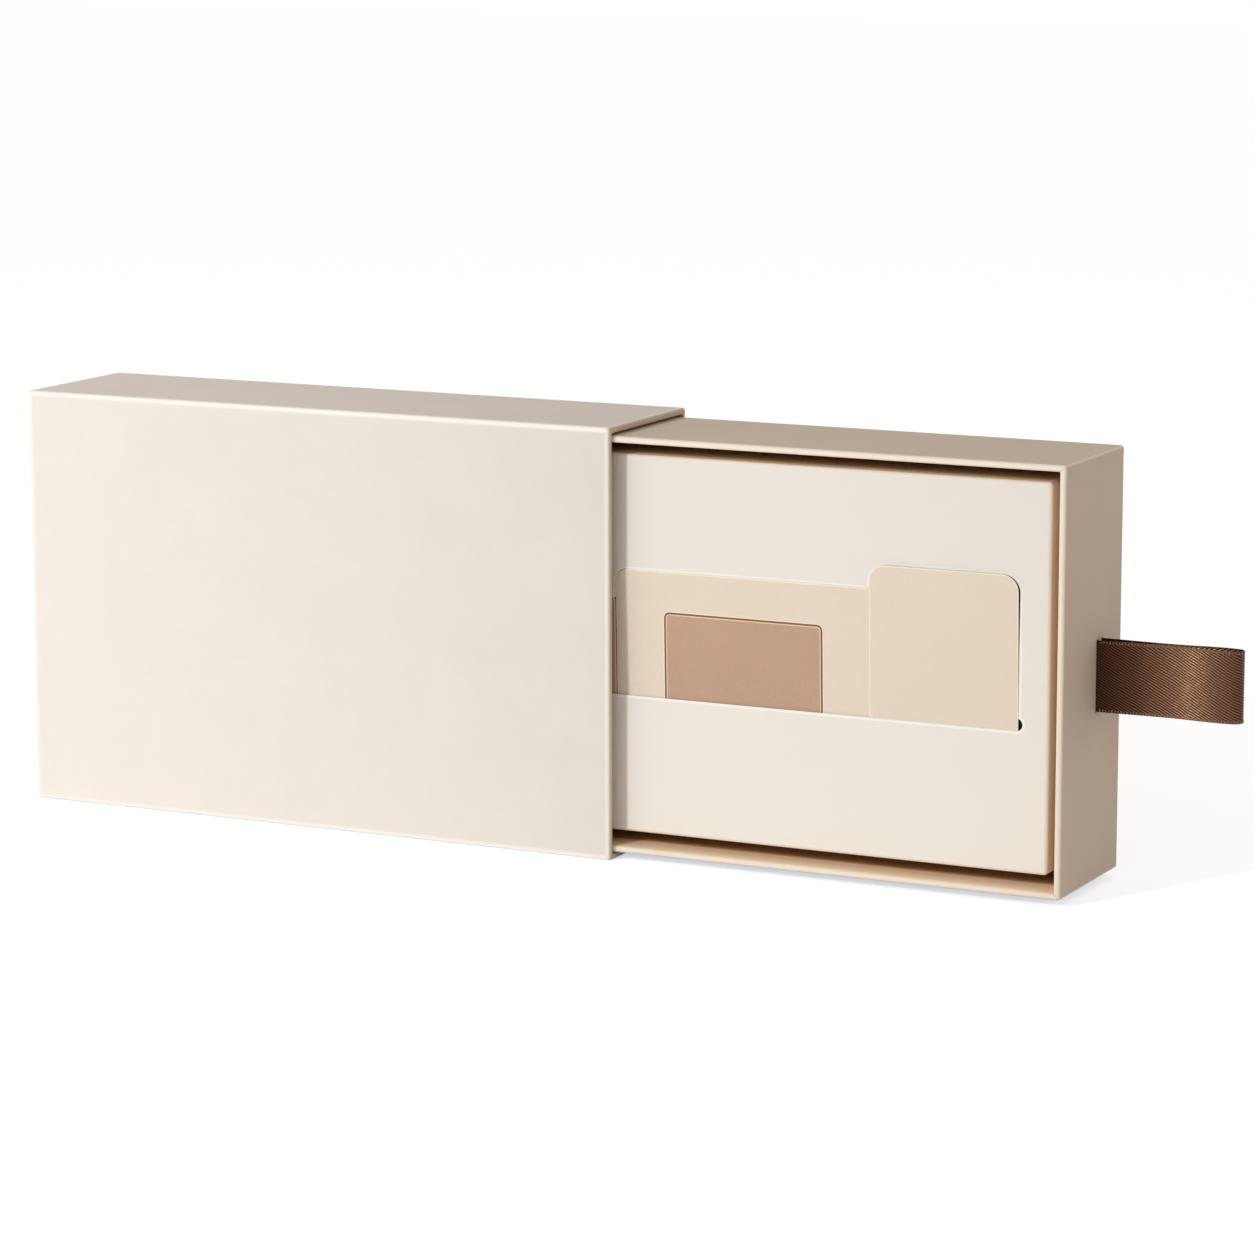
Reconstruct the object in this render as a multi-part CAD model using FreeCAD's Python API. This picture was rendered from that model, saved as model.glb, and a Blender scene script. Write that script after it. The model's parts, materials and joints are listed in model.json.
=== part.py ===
"""Sliding drawer gift box: a paper-covered sleeve, a tray-shaped drawer with a ribbon pull, and a
raised platform whose slotted pocket holds a row of cards.

Row frame, in millimetres: the origin is the centre of the sleeve's underside, +X is the way the
drawer pulls out, -Y is the side that the drawer's open face and the cards look to, and +Z is up.
The drawer is shown part of the way out.
"""

import math
import os

import FreeCAD, Part

V = FreeCAD.Vector

# ---------------------------------------------------------------- driving dimensions, mm
# Sleeve, outside sizes
SLEEVE_LENGTH = 242.0
SLEEVE_DEPTH = 62.0
SLEEVE_HEIGHT = 155.0

# Wall build-up, the same for sleeve and drawer
BOARD = 2.0  # greyboard
PAPER = 0.2  # covering and lining paper
EDGE_RADIUS = 1.0  # paper-covered board edge, outside
RIM_SHARE = 0.45  # the most of a wall's thickness that one of its rim's two round edges takes
SLEEVE_TURN_IN = 16.0  # covering paper folded in at the sleeve's mouth
DRAWER_TURN_IN = 12.0  # covering paper folded in over the drawer's rim
PAPER_JOIN = 0.02  # between two sheets that meet edge to edge

# Running clearances between drawer and sleeve
CLEAR_SIDE = 0.5
CLEAR_BELOW = 0.3
CLEAR_ABOVE = 0.7
CLEAR_END = 0.6

PULLED_OUT = 168.8  # how far the drawer stands out of the sleeve

# Ribbon pull, a loop through two slits in the drawer's end
RIBBON_WIDTH = 25.0
RIBBON_THICKNESS = 0.4
RIBBON_STANDS_OUT = 52.0
RIBBON_HEIGHT = 72.3  # the ribbon's middle above the drawer's underside
RIBBON_FROM_RIM = 32.1  # the front layer's middle behind the drawer's rim
RIBBON_LAYERS_APART = 5.0
RIBBON_TAIL = 12.0  # glued flat inside the end wall
SLIT_WIDTH = 1.0
SLIT_END_CLEARANCE = 0.4
PATCH_MARGIN = 3.0  # paper patch around the glued tails

# Platform, a folded card tray upside down in the drawer
PLATFORM_GAP = 4.5  # between the platform's sides and the drawer's walls
PLATFORM_RECESS = 5.4  # the platform's face behind the drawer's rim
PLATFORM_CARD = 0.4
PLATFORM_FOLD_RADIUS = 0.7
FOOT_CLEARANCE = 0.2  # between the glue flaps and the drawer's walls
RIB_COUNT = 3

# Pocket and window in the platform
SLIT_ABOVE_BASE = 49.3  # the lip above the platform's lower edge
POCKET_DEPTH = 36.2  # from the lip down to the stop that the cards stand on
POCKET_FLANGE = 6.0
POCKET_ABOVE_WINDOW = 4.0
SLOT_END_RADIUS = 2.25
SLOT_BEYOND_WINDOW = 0.8
WINDOW_TOP_GAP = 0.2
CARD_SIDE_GAP = 0.4

# Cards, standing in the pocket
CARD_GAP = 0.08  # between neighbouring layers
CARD = 0.3
BACKING = 0.15
TALL_WIDTH, TALL_HEIGHT, TALL_CORNER = 55.0, 90.0, 5.8
TALL_FROM_RIGHT = 11.3  # the tall card's edge from the platform's right side
WIDE_WIDTH, WIDE_HEIGHT, WIDE_CORNER = 148.5, 81.5, 4.8
WIDE_BEHIND_TALL = 3.7  # how far short of the tall card's right edge the wide one stops
TAN_WIDTH, TAN_HEIGHT, TAN_CORNER = 59.5, 38.0, 1.4
TAN_FROM_LEFT = 19.4  # inset card from the wide card's left edge
TAN_BELOW_TOP = 15.0  # and from its top edge
TAN_GAP = 0.35
LEFT_HEIGHT, LEFT_CORNER = 71.3, 1.4
LEFT_FROM_LEFT = 11.9  # the left card's edge from the platform's left side
LEFT_TO_WIDE = 0.3
BACKING_MARGIN = 6.0

# Drawing tolerances
SAME_POINT = 1e-6
HAIR = 0.0025  # straight ribbon left between the two bends of its tip

# ---------------------------------------------------------------- worked out from them
WALL = BOARD + 2 * PAPER
MOUTH_X = SLEEVE_LENGTH / 2

DRAWER_LENGTH = SLEEVE_LENGTH - WALL - CLEAR_END
DRAWER_DEPTH = SLEEVE_DEPTH - 2 * (WALL + CLEAR_SIDE)
DRAWER_HEIGHT = SLEEVE_HEIGHT - 2 * WALL - CLEAR_BELOW - CLEAR_ABOVE
PULL_X = MOUTH_X + PULLED_OUT  # outer face of the drawer's pull end
REAR_X = PULL_X - DRAWER_LENGTH
RIM_Y = -DRAWER_DEPTH / 2
DRAWER_Z = WALL + CLEAR_BELOW  # the drawer's underside

INNER_RIGHT = PULL_X - WALL
INNER_LEFT = REAR_X + WALL
INNER_BACK = RIM_Y + DRAWER_DEPTH - WALL
INNER_BOTTOM = DRAWER_Z + WALL
INNER_TOP = DRAWER_Z + DRAWER_HEIGHT - WALL

PLATFORM_LEFT = INNER_LEFT + PLATFORM_GAP
PLATFORM_RIGHT = INNER_RIGHT - PLATFORM_GAP
PLATFORM_BOTTOM = INNER_BOTTOM + PLATFORM_GAP
PLATFORM_TOP = INNER_TOP - PLATFORM_GAP
FACE_Y = RIM_Y + PLATFORM_RECESS
PANEL_BACK_Y = FACE_Y + PLATFORM_CARD
LIP_Z = PLATFORM_BOTTOM + SLIT_ABOVE_BASE
STOP_Z = LIP_Z - POCKET_DEPTH

TALL_RIGHT = PLATFORM_RIGHT - TALL_FROM_RIGHT
TALL_LEFT = TALL_RIGHT - TALL_WIDTH
WIDE_RIGHT = TALL_RIGHT - WIDE_BEHIND_TALL
WIDE_LEFT = WIDE_RIGHT - WIDE_WIDTH
LEFT_LEFT = PLATFORM_LEFT + LEFT_FROM_LEFT
LEFT_WIDTH = WIDE_LEFT - LEFT_TO_WIDE - LEFT_LEFT

WINDOW_LEFT = LEFT_LEFT - CARD_SIDE_GAP
WINDOW_RIGHT = TALL_RIGHT + CARD_SIDE_GAP
WINDOW_TOP = STOP_Z + WIDE_HEIGHT + WINDOW_TOP_GAP
SLOT_LEFT = WINDOW_LEFT - SLOT_BEYOND_WINDOW
SLOT_RIGHT = WINDOW_RIGHT + SLOT_BEYOND_WINDOW

# Each layer of cards, as offsets behind the lip's inner edge, square to the cards.
TALL_LAYER = CARD_GAP
WIDE_LAYER = TALL_LAYER + CARD + CARD_GAP
BACKING_LAYER = WIDE_LAYER + CARD
STACK = BACKING_LAYER + BACKING + CARD_GAP

# The cards lean forward just enough to pass behind the lip and in front of the window's top edge.
WINDOW_HEIGHT = WINDOW_TOP - LIP_Z
LEAN = math.atan2(PLATFORM_CARD, WINDOW_HEIGHT) + math.asin(
    STACK / math.hypot(PLATFORM_CARD, WINDOW_HEIGHT)
)
POCKET_BACK_Y = PANEL_BACK_Y + STACK * math.cos(LEAN) + POCKET_DEPTH * math.sin(LEAN)


# ---------------------------------------------------------------- helpers
def block(low, high):
    """A box between two corners."""
    return Part.makeBox(*(b - a for a, b in zip(low, high)), V(*low))


def fused(shapes):
    return shapes[0].fuse(shapes[1:]).removeSplitter()


def solids(shape):
    """The shape's own solids as one compound, without what a cut leaves behind."""
    return Part.makeCompound(shape.Solids)


def rounded_plate(left, right, bottom, top, front, thickness, radius):
    """An upright plate, facing -Y, whose two upper corners are rounded."""
    plate = block((left, front, bottom), (right, front + thickness, top))
    corners = [
        e
        for e in plate.Edges
        if e.BoundBox.YLength > thickness / 2 and e.BoundBox.ZMin > top - radius / 2
    ]
    return plate.makeFillet(radius, corners)


def leaning(shape):
    """Turns a piece drawn upright behind the lip's inner edge to the cards' lean."""
    turned = shape.copy()
    turned.rotate(V(0, PANEL_BACK_Y, LIP_Z), V(1, 0, 0), math.degrees(LEAN))
    return turned


# ---------------------------------------------------------------- rigid box, shared construction
def hollow_block(length, width, height, inset, radius):
    """A box wall open at the top, pulled in by inset on all its faces, with round edges and rim."""
    body = block((inset, inset, inset), (length - inset, width - inset, height - inset))
    body = body.makeFillet(radius, body.Edges)
    inner = WALL - inset
    hollow = block((inner, inner, inner), (length - inner, width - inner, height + WALL))
    body = body.cut(hollow)
    rim = [
        e
        for e in body.Edges
        if e.BoundBox.ZMin > height - inset - radius / 2
        and inner - radius / 2 < e.BoundBox.XMin
        and e.BoundBox.XMax < length - inner + radius / 2
        and inner - radius / 2 < e.BoundBox.YMin
        and e.BoundBox.YMax < width - inner + radius / 2
    ]
    return body.makeFillet(radius, rim)


def by_wall(shape, length, width, height, depth, join=0):
    """Cuts a box wall into its two long sides, its two sides between them, and its floor."""
    far = 2 * WALL
    inside_x = (depth + join, length - depth - join)
    inside_y = (depth + join, width - depth - join)
    zones = {
        "y_low": ((-far, -far, -far), (length + far, depth, height + far)),
        "y_high": ((-far, width - depth, -far), (length + far, width + far, height + far)),
        "x_low": ((-far, inside_y[0], -far), (depth, inside_y[1], height + far)),
        "x_high": ((length - depth, inside_y[0], -far), (length + far, inside_y[1], height + far)),
        "floor": ((inside_x[0], inside_y[0], -far), (inside_x[1], inside_y[1], height + far)),
    }
    return {wall: shape.common(block(*corners)) for wall, corners in zones.items()}


def rigid_box(length, width, height, turn_in):
    """A set-up box open at the top: its boards, its covering paper and its lining, by wall."""
    radius = min(EDGE_RADIUS, RIM_SHARE * WALL)
    whole = hollow_block(length, width, height, 0, radius)
    boards = hollow_block(length, width, height, PAPER, radius - PAPER)
    papers = whole.cut(boards)
    skin = WALL - PAPER
    lining_zone = block((skin, skin, skin), (length - skin, width - skin, height - turn_in))
    lining = papers.common(lining_zone)
    wrap = papers.cut(lining_zone)
    return (
        by_wall(boards, length, width, height, skin),
        by_wall(wrap, length, width, height, WALL, PAPER_JOIN),
        by_wall(lining, length, width, height, WALL, PAPER_JOIN),
    )


def placed(shape, axis, move):
    """Turns a piece a quarter about an axis, then moves it."""
    turned = shape.copy()
    turned.rotate(V(0, 0, 0), axis, 90)
    turned.translate(move)
    return turned


# ---------------------------------------------------------------- sleeve
def sleeve_nodes():
    boards, wrap, lining = rigid_box(SLEEVE_HEIGHT, SLEEVE_DEPTH, SLEEVE_LENGTH, SLEEVE_TURN_IN)

    def lay(shape):
        # open top to +X, length to -Z
        return placed(shape, V(0, 1, 0), V(-MOUTH_X, -SLEEVE_DEPTH / 2, SLEEVE_HEIGHT))

    names = {"y_low": "front", "y_high": "back", "x_low": "top", "x_high": "bottom", "floor": "end"}
    nodes = {f"sleeve_{name}_board": lay(boards[wall]) for wall, name in names.items()}
    nodes["sleeve_wrap"] = Part.makeCompound([lay(s) for sheet in wrap.values() for s in sheet.Solids])
    nodes["sleeve_lining"] = Part.makeCompound(
        [lay(s) for sheet in lining.values() for s in sheet.Solids]
    )
    return nodes


# ---------------------------------------------------------------- drawer
RIBBON_Y = RIM_Y + RIBBON_FROM_RIM
RIBBON_Z = DRAWER_Z + RIBBON_HEIGHT
RIBBON_LOW, RIBBON_HIGH = RIBBON_Z - RIBBON_WIDTH / 2, RIBBON_Z + RIBBON_WIDTH / 2


def ribbon_slits():
    """The two cuts that the ribbon's layers pass through, as long as the wall is thick."""
    half = SLIT_WIDTH / 2
    return fused(
        [
            block(
                (INNER_RIGHT - WALL, y - half, RIBBON_LOW - SLIT_END_CLEARANCE),
                (PULL_X + WALL, y + half, RIBBON_HIGH + SLIT_END_CLEARANCE),
            )
            for y in (RIBBON_Y, RIBBON_Y + RIBBON_LAYERS_APART)
        ]
    )


def drawer_nodes():
    boards, wrap, lining = rigid_box(DRAWER_LENGTH, DRAWER_HEIGHT, DRAWER_DEPTH, DRAWER_TURN_IN)
    slits = ribbon_slits()

    def lay(shape):
        # open top to -Y, width to +Z
        return placed(shape, V(1, 0, 0), V(REAR_X, RIM_Y + DRAWER_DEPTH, DRAWER_Z))

    names = {
        "y_low": "bottom",
        "y_high": "top",
        "x_low": "rear_end",
        "x_high": "pull_end",
        "floor": "back",
    }
    nodes = {f"drawer_{name}_board": lay(boards[wall]) for wall, name in names.items()}
    nodes["drawer_pull_end_board"] = nodes["drawer_pull_end_board"].cut(slits)
    for node, sheets in (("drawer_wrap", wrap), ("drawer_lining", lining)):
        laid = {wall: lay(sheet) for wall, sheet in sheets.items()}
        laid["x_high"] = laid["x_high"].cut(slits)
        nodes[node] = Part.makeCompound([s for sheet in laid.values() for s in sheet.Solids])
    return nodes


def strip_outline(points, radii, half):
    """The edges of a bent strip in plan: one side out along the rounded path, the other back."""
    legs = [(b - a).normalize() for a, b in zip(points, points[1:])]
    sides = {}
    for side in (1, -1):
        normals = [V(-d.y, d.x, 0) * side * half for d in legs]
        edges = []
        start = points[0] + normals[0]
        for i, radius in enumerate(radii):
            into, out = legs[i], legs[i + 1]
            turn = into.getAngle(out)
            way = 1 if into.cross(out).z > 0 else -1
            reach = radius * math.tan(turn / 2)
            corner = points[i + 1]
            first, last = corner - into * reach, corner + out * reach
            centre = first + V(-into.y, into.x, 0) * way * radius
            ray = (corner - centre).normalize()
            own = radius - way * side * half
            arc = Part.Arc(first + normals[i], centre + ray * own, last + normals[i + 1])
            if (first + normals[i] - start).Length > SAME_POINT:
                edges.append(Part.makeLine(start, first + normals[i]))
            edges.append(arc.toShape())
            start = last + normals[i + 1]
        edges.append(Part.makeLine(start, points[-1] + normals[-1]))
        sides[side] = edges
    ends = [
        Part.makeLine(points[i] + V(-d.y, d.x, 0) * half, points[i] - V(-d.y, d.x, 0) * half)
        for i, d in ((0, legs[0]), (-1, legs[-1]))
    ]
    return sides[1] + sides[-1] + ends


def ribbon():
    """A loop of ribbon: tail, out through a slit, round the tip, back in, tail."""
    half = RIBBON_THICKNESS / 2
    inside = INNER_RIGHT - half
    tip = PULL_X + RIBBON_STANDS_OUT - half
    far_y = RIBBON_Y + RIBBON_LAYERS_APART
    loop = RIBBON_LAYERS_APART / 2
    points = [
        V(inside, RIBBON_Y - RIBBON_TAIL, RIBBON_LOW),
        V(inside, RIBBON_Y, RIBBON_LOW),
        V(tip, RIBBON_Y, RIBBON_LOW),
        V(tip, far_y, RIBBON_LOW),
        V(inside, far_y, RIBBON_LOW),
        V(inside, far_y + RIBBON_TAIL, RIBBON_LOW),
    ]
    fold = SLIT_WIDTH / 2
    round_tip = loop - HAIR
    edges = strip_outline(points, [fold, round_tip, round_tip, fold], half)
    outline = Part.Wire(Part.__sortEdges__(edges))
    return Part.Face(outline).extrude(V(0, 0, RIBBON_WIDTH))


def ribbon_patch():
    """A strip of paper glued over the two tails."""
    face = INNER_RIGHT - RIBBON_THICKNESS
    return block(
        (face - PAPER, RIBBON_Y - RIBBON_TAIL - PATCH_MARGIN, RIBBON_LOW - PATCH_MARGIN),
        (face, RIBBON_Y + RIBBON_LAYERS_APART + RIBBON_TAIL + PATCH_MARGIN, RIBBON_HIGH + PATCH_MARGIN),
    )


# ---------------------------------------------------------------- platform
def platform_shell():
    """The folded platform card, hollow and open at the back."""
    outer = block(
        (PLATFORM_LEFT, FACE_Y, PLATFORM_BOTTOM), (PLATFORM_RIGHT, INNER_BACK, PLATFORM_TOP)
    )
    folds = [e for e in outer.Edges if e.BoundBox.YMin < INNER_BACK - PLATFORM_FOLD_RADIUS]
    outer = outer.makeFillet(PLATFORM_FOLD_RADIUS, folds)
    card = PLATFORM_CARD
    inner = block(
        (PLATFORM_LEFT + card, PANEL_BACK_Y, PLATFORM_BOTTOM + card),
        (PLATFORM_RIGHT - card, INNER_BACK + card, PLATFORM_TOP - card),
    )
    inside_folds = [e for e in inner.Edges if e.BoundBox.YMin < INNER_BACK]
    inner = inner.makeFillet(PLATFORM_FOLD_RADIUS - card, inside_folds)
    return outer.cut(inner)


def card_window():
    """What is cut out of the panel: the window, the tall card's notch and the long slot."""
    front, back = FACE_Y - PLATFORM_CARD, PANEL_BACK_Y + PLATFORM_CARD
    depth = back - front
    window = block((WINDOW_LEFT, front, LIP_Z), (WINDOW_RIGHT, back, WINDOW_TOP))
    notch = rounded_plate(
        TALL_LEFT - CARD_SIDE_GAP,
        WINDOW_RIGHT,
        LIP_Z,
        STOP_Z + TALL_HEIGHT + WINDOW_TOP_GAP,
        front,
        depth,
        TALL_CORNER + CARD_SIDE_GAP,
    )
    slot = block(
        (SLOT_LEFT + SLOT_END_RADIUS, front, LIP_Z),
        (SLOT_RIGHT - SLOT_END_RADIUS, back, LIP_Z + 2 * SLOT_END_RADIUS),
    )
    ends = [
        Part.makeCylinder(SLOT_END_RADIUS, depth, V(x, front, LIP_Z + SLOT_END_RADIUS), V(0, 1, 0))
        for x in (SLOT_LEFT + SLOT_END_RADIUS, SLOT_RIGHT - SLOT_END_RADIUS)
    ]
    return fused([window, notch, slot] + ends)


def platform_nodes():
    shell = platform_shell()
    far = PLATFORM_GAP
    fold = PANEL_BACK_Y
    front = block(
        (PLATFORM_LEFT - far, FACE_Y - far, PLATFORM_BOTTOM - far),
        (PLATFORM_RIGHT + far, fold, PLATFORM_TOP + far),
    )
    panel = shell.common(front).cut(card_window())
    rest = shell.cut(front)
    turn = PLATFORM_FOLD_RADIUS
    zones = [
        (
            (PLATFORM_LEFT - far, fold, PLATFORM_TOP - turn),
            (PLATFORM_RIGHT + far, INNER_BACK, PLATFORM_TOP + far),
        ),
        (
            (PLATFORM_LEFT - far, fold, PLATFORM_BOTTOM - far),
            (PLATFORM_RIGHT + far, INNER_BACK, PLATFORM_BOTTOM + turn),
        ),
        (
            (PLATFORM_LEFT - far, fold, PLATFORM_BOTTOM + turn),
            (PLATFORM_LEFT + turn, INNER_BACK, PLATFORM_TOP - turn),
        ),
        (
            (PLATFORM_RIGHT - turn, fold, PLATFORM_BOTTOM + turn),
            (PLATFORM_RIGHT + far, INNER_BACK, PLATFORM_TOP - turn),
        ),
    ]
    sides = [s for zone in zones for s in rest.common(block(*zone)).Solids]
    return {
        "platform_panel": panel,
        "platform_sides": Part.makeCompound(sides),
        "platform_glue_flaps": glue_flaps(),
        "platform_ribs": ribs(),
    }


def glue_flaps():
    """Flaps folded outward from the platform's sides, glued to the drawer's back."""
    front, back = INNER_BACK - PLATFORM_CARD, INNER_BACK
    reach = PLATFORM_GAP - FOOT_CLEARANCE
    inset = PLATFORM_GAP  # the flaps' ends are cut back so that they don't meet
    flat = [
        (PLATFORM_LEFT + inset, PLATFORM_RIGHT - inset, PLATFORM_TOP, PLATFORM_TOP + reach),
        (PLATFORM_LEFT + inset, PLATFORM_RIGHT - inset, PLATFORM_BOTTOM - reach, PLATFORM_BOTTOM),
        (PLATFORM_LEFT - reach, PLATFORM_LEFT, PLATFORM_BOTTOM + inset, PLATFORM_TOP - inset),
        (PLATFORM_RIGHT, PLATFORM_RIGHT + reach, PLATFORM_BOTTOM + inset, PLATFORM_TOP - inset),
    ]
    return Part.makeCompound([block((a, front, c), (b, back, d)) for a, b, c, d in flat])


def pocket_box():
    """The pocket's outside, low and high corners."""
    card, end = PLATFORM_CARD, SLOT_BEYOND_WINDOW
    low = (SLOT_LEFT - end - card, PANEL_BACK_Y, STOP_Z - card)
    top = WINDOW_TOP + max(TALL_HEIGHT - WIDE_HEIGHT, 0) + POCKET_ABOVE_WINDOW
    high = (SLOT_RIGHT + end + card, POCKET_BACK_Y + card, top + card)
    return low, high


def card_pocket():
    """A shallow card tray glued to the back of the panel, as its flat sheets: back, sides, flaps."""
    card, flap = PLATFORM_CARD, POCKET_FLANGE
    (x0, y0, z0), (x1, y1, z1) = pocket_box()
    sheets = [
        ((x0, y1 - card, z0), (x1, y1, z1)),
        ((x0, y0, z0), (x1, y1 - card, z0 + card)),
        ((x0, y0, z1 - card), (x1, y1 - card, z1)),
        ((x0, y0, z0 + card), (x0 + card, y1 - card, z1 - card)),
        ((x1 - card, y0, z0 + card), (x1, y1 - card, z1 - card)),
        ((x0, y0, z0 - flap), (x1, y0 + card, z0)),
        ((x0, y0, z1), (x1, y0 + card, z1 + flap)),
        ((x0 - flap, y0, z0), (x0, y0 + card, z1)),
        ((x1, y0, z0), (x1 + flap, y0 + card, z1)),
    ]
    return Part.makeCompound([block(low, high) for low, high in sheets])


def ribs():
    """Upright card ribs that carry the panel off the drawer's back, notched round the pocket."""
    card = PLATFORM_CARD
    shell = platform_shell()
    low, high = pocket_box()
    flap = POCKET_FLANGE
    pocket = block(low, high)
    flaps = block(
        (low[0] - flap, low[1], low[2] - flap), (high[0] + flap, low[1] + card, high[2] + flap)
    )
    pitch = (PLATFORM_RIGHT - PLATFORM_LEFT) / (RIB_COUNT + 1)
    made = []
    for i in range(1, RIB_COUNT + 1):
        x = PLATFORM_LEFT + i * pitch
        rib = block(
            (x - card / 2, PANEL_BACK_Y, PLATFORM_BOTTOM + card),
            (x + card / 2, INNER_BACK, PLATFORM_TOP - card),
        )
        made += rib.cut(fused([pocket, flaps])).cut(shell).Solids
    return Part.makeCompound(made)


# ---------------------------------------------------------------- cards
def card(left, width, height, corner, layer):
    """A card with two round upper corners, standing on the pocket's stop in its layer."""
    front = PANEL_BACK_Y + layer
    return rounded_plate(left, left + width, STOP_Z, STOP_Z + height, front, CARD, corner)


def card_nodes():
    tan_left = WIDE_LEFT + TAN_FROM_LEFT
    tan_top = STOP_Z + WIDE_HEIGHT - TAN_BELOW_TOP
    tan_bottom = tan_top - TAN_HEIGHT
    wide_front = PANEL_BACK_Y + WIDE_LAYER
    hole = rounded_plate(
        tan_left - TAN_GAP,
        tan_left + TAN_WIDTH + TAN_GAP,
        tan_bottom - TAN_GAP,
        tan_top + TAN_GAP,
        wide_front - CARD,
        3 * CARD,
        TAN_CORNER + TAN_GAP,
    )
    wide = card(WIDE_LEFT, WIDE_WIDTH, WIDE_HEIGHT, WIDE_CORNER, WIDE_LAYER).cut(hole)
    tan = rounded_plate(
        tan_left, tan_left + TAN_WIDTH, tan_bottom, tan_top, wide_front, CARD, TAN_CORNER
    )
    margin = BACKING_MARGIN
    backing_front = PANEL_BACK_Y + BACKING_LAYER
    backing = block(
        (tan_left - margin, backing_front, tan_bottom - margin),
        (tan_left + TAN_WIDTH + margin, backing_front + BACKING, tan_top + margin),
    )
    upright = {
        "wide_card": wide,
        "tan_card": tan,
        "card_backing": backing,
        "tall_card": card(TALL_LEFT, TALL_WIDTH, TALL_HEIGHT, TALL_CORNER, TALL_LAYER),
        "left_card": card(LEFT_LEFT, LEFT_WIDTH, LEFT_HEIGHT, LEFT_CORNER, WIDE_LAYER),
    }
    return {name: leaning(shape) for name, shape in upright.items()}


# ---------------------------------------------------------------- write the nodes
def main():
    nodes = sleeve_nodes() | drawer_nodes() | platform_nodes() | card_nodes()
    nodes["ribbon_pull"] = ribbon()
    nodes["ribbon_patch"] = ribbon_patch()
    nodes["card_pocket"] = card_pocket()
    os.makedirs("parts", exist_ok=True)
    for name, shape in nodes.items():
        shape = solids(shape)
        shape.exportStep(f"parts/{name}.step")
        print(f"{name}: {len(shape.Solids)} solids, {shape.Volume:.1f} mm3, valid {shape.isValid()}")
    print(f"cards lean {math.degrees(LEAN):.2f} degrees")


main()
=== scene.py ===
# %% [markdown]
# # A sliding drawer gift box, dressed in paper, card and ribbon
# The construction comes from the frame: greyboard walls, a folded card platform, a pocket and
# four cards, each at its real size. This lesson gives those pieces their looks. A rigid box is
# a board box wearing paper, so most of the work is paper: how it bends over a board's edge, how
# it is mitred at a corner, and where one sheet laps another.

# %% Load the frame and keep its box
import json
import math

import bmesh
import bpy
from mathutils import Matrix, Vector

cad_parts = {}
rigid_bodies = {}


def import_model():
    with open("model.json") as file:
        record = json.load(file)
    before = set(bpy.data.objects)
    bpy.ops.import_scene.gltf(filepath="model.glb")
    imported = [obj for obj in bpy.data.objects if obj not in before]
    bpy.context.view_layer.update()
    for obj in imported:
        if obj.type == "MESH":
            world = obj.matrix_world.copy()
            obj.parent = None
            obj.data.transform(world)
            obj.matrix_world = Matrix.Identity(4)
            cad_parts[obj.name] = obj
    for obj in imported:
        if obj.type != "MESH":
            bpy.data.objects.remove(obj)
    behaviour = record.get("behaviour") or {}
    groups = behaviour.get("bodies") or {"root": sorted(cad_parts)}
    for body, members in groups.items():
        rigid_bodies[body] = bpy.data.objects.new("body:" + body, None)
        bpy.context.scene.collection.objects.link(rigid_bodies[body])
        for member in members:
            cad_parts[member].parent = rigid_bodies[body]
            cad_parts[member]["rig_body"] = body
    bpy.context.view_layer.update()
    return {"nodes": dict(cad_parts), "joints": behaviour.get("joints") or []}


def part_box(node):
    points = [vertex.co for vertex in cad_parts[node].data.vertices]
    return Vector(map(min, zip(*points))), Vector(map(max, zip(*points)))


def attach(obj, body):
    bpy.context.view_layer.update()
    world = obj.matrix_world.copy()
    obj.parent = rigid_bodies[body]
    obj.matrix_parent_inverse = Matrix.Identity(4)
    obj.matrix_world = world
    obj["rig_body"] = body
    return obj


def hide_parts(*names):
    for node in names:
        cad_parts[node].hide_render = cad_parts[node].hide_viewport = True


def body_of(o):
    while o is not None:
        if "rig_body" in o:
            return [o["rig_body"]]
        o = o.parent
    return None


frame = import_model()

# %% [markdown]
# ## Sizes
# Blender works in metres and a paper box is drawn in millimetres, so small sizes are written as
# a number times MM. What the frame holds isn't typed again: thicknesses are read from
# the boxes of its nodes, and the cards' lean from a joint.

# %% Sizes read from the frame
MM = 0.001

SLEEVE_LOW, SLEEVE_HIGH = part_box("sleeve_wrap")
DRAWER_LOW, DRAWER_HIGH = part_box("drawer_wrap")
PLATFORM_LOW, PLATFORM_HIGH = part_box("platform_sides")
PANEL_LOW, PANEL_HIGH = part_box("platform_panel")
END_BOARD_LOW, END_BOARD_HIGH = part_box("sleeve_end_board")

PAPER = END_BOARD_LOW.x - SLEEVE_LOW.x
BOARD = END_BOARD_HIGH.x - END_BOARD_LOW.x
WALL = BOARD + 2 * PAPER
CARD = PANEL_HIGH.y - PANEL_LOW.y
slide = next(joint for joint in frame["joints"] if joint["name"] == "wide_card_slide")
LEAN = math.atan2(-slide["axis"][1], slide["axis"][2])
print(f"paper {PAPER / MM:.2f} mm, board {BOARD / MM:.2f} mm, wall {WALL / MM:.2f} mm")
print(f"card {CARD / MM:.2f} mm, cards lean {math.degrees(LEAN):.2f} degrees")

# %% [markdown]
# ## Shader maths as Python
# A material is a graph of nodes, and drawing one by hand hides the arithmetic. This class wraps
# one socket and gives it Python's operators, so that `1 - mask` adds the Math node itself. The
# tree class below it makes every other kind of node, in materials, sky and Geometry Nodes alike.

# %% A socket that understands arithmetic
def connect(tree, value, slot):
    """Sets a socket from a number or colour, or links it to another socket."""
    if isinstance(value, Value):
        tree.links.new(value.socket, slot)
    else:
        slot.default_value = value


def math_method(operation):
    """A method that adds one Math node, fed by the socket itself and what it is given."""
    return lambda self, *others: self.math(operation, self, *others)


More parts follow.
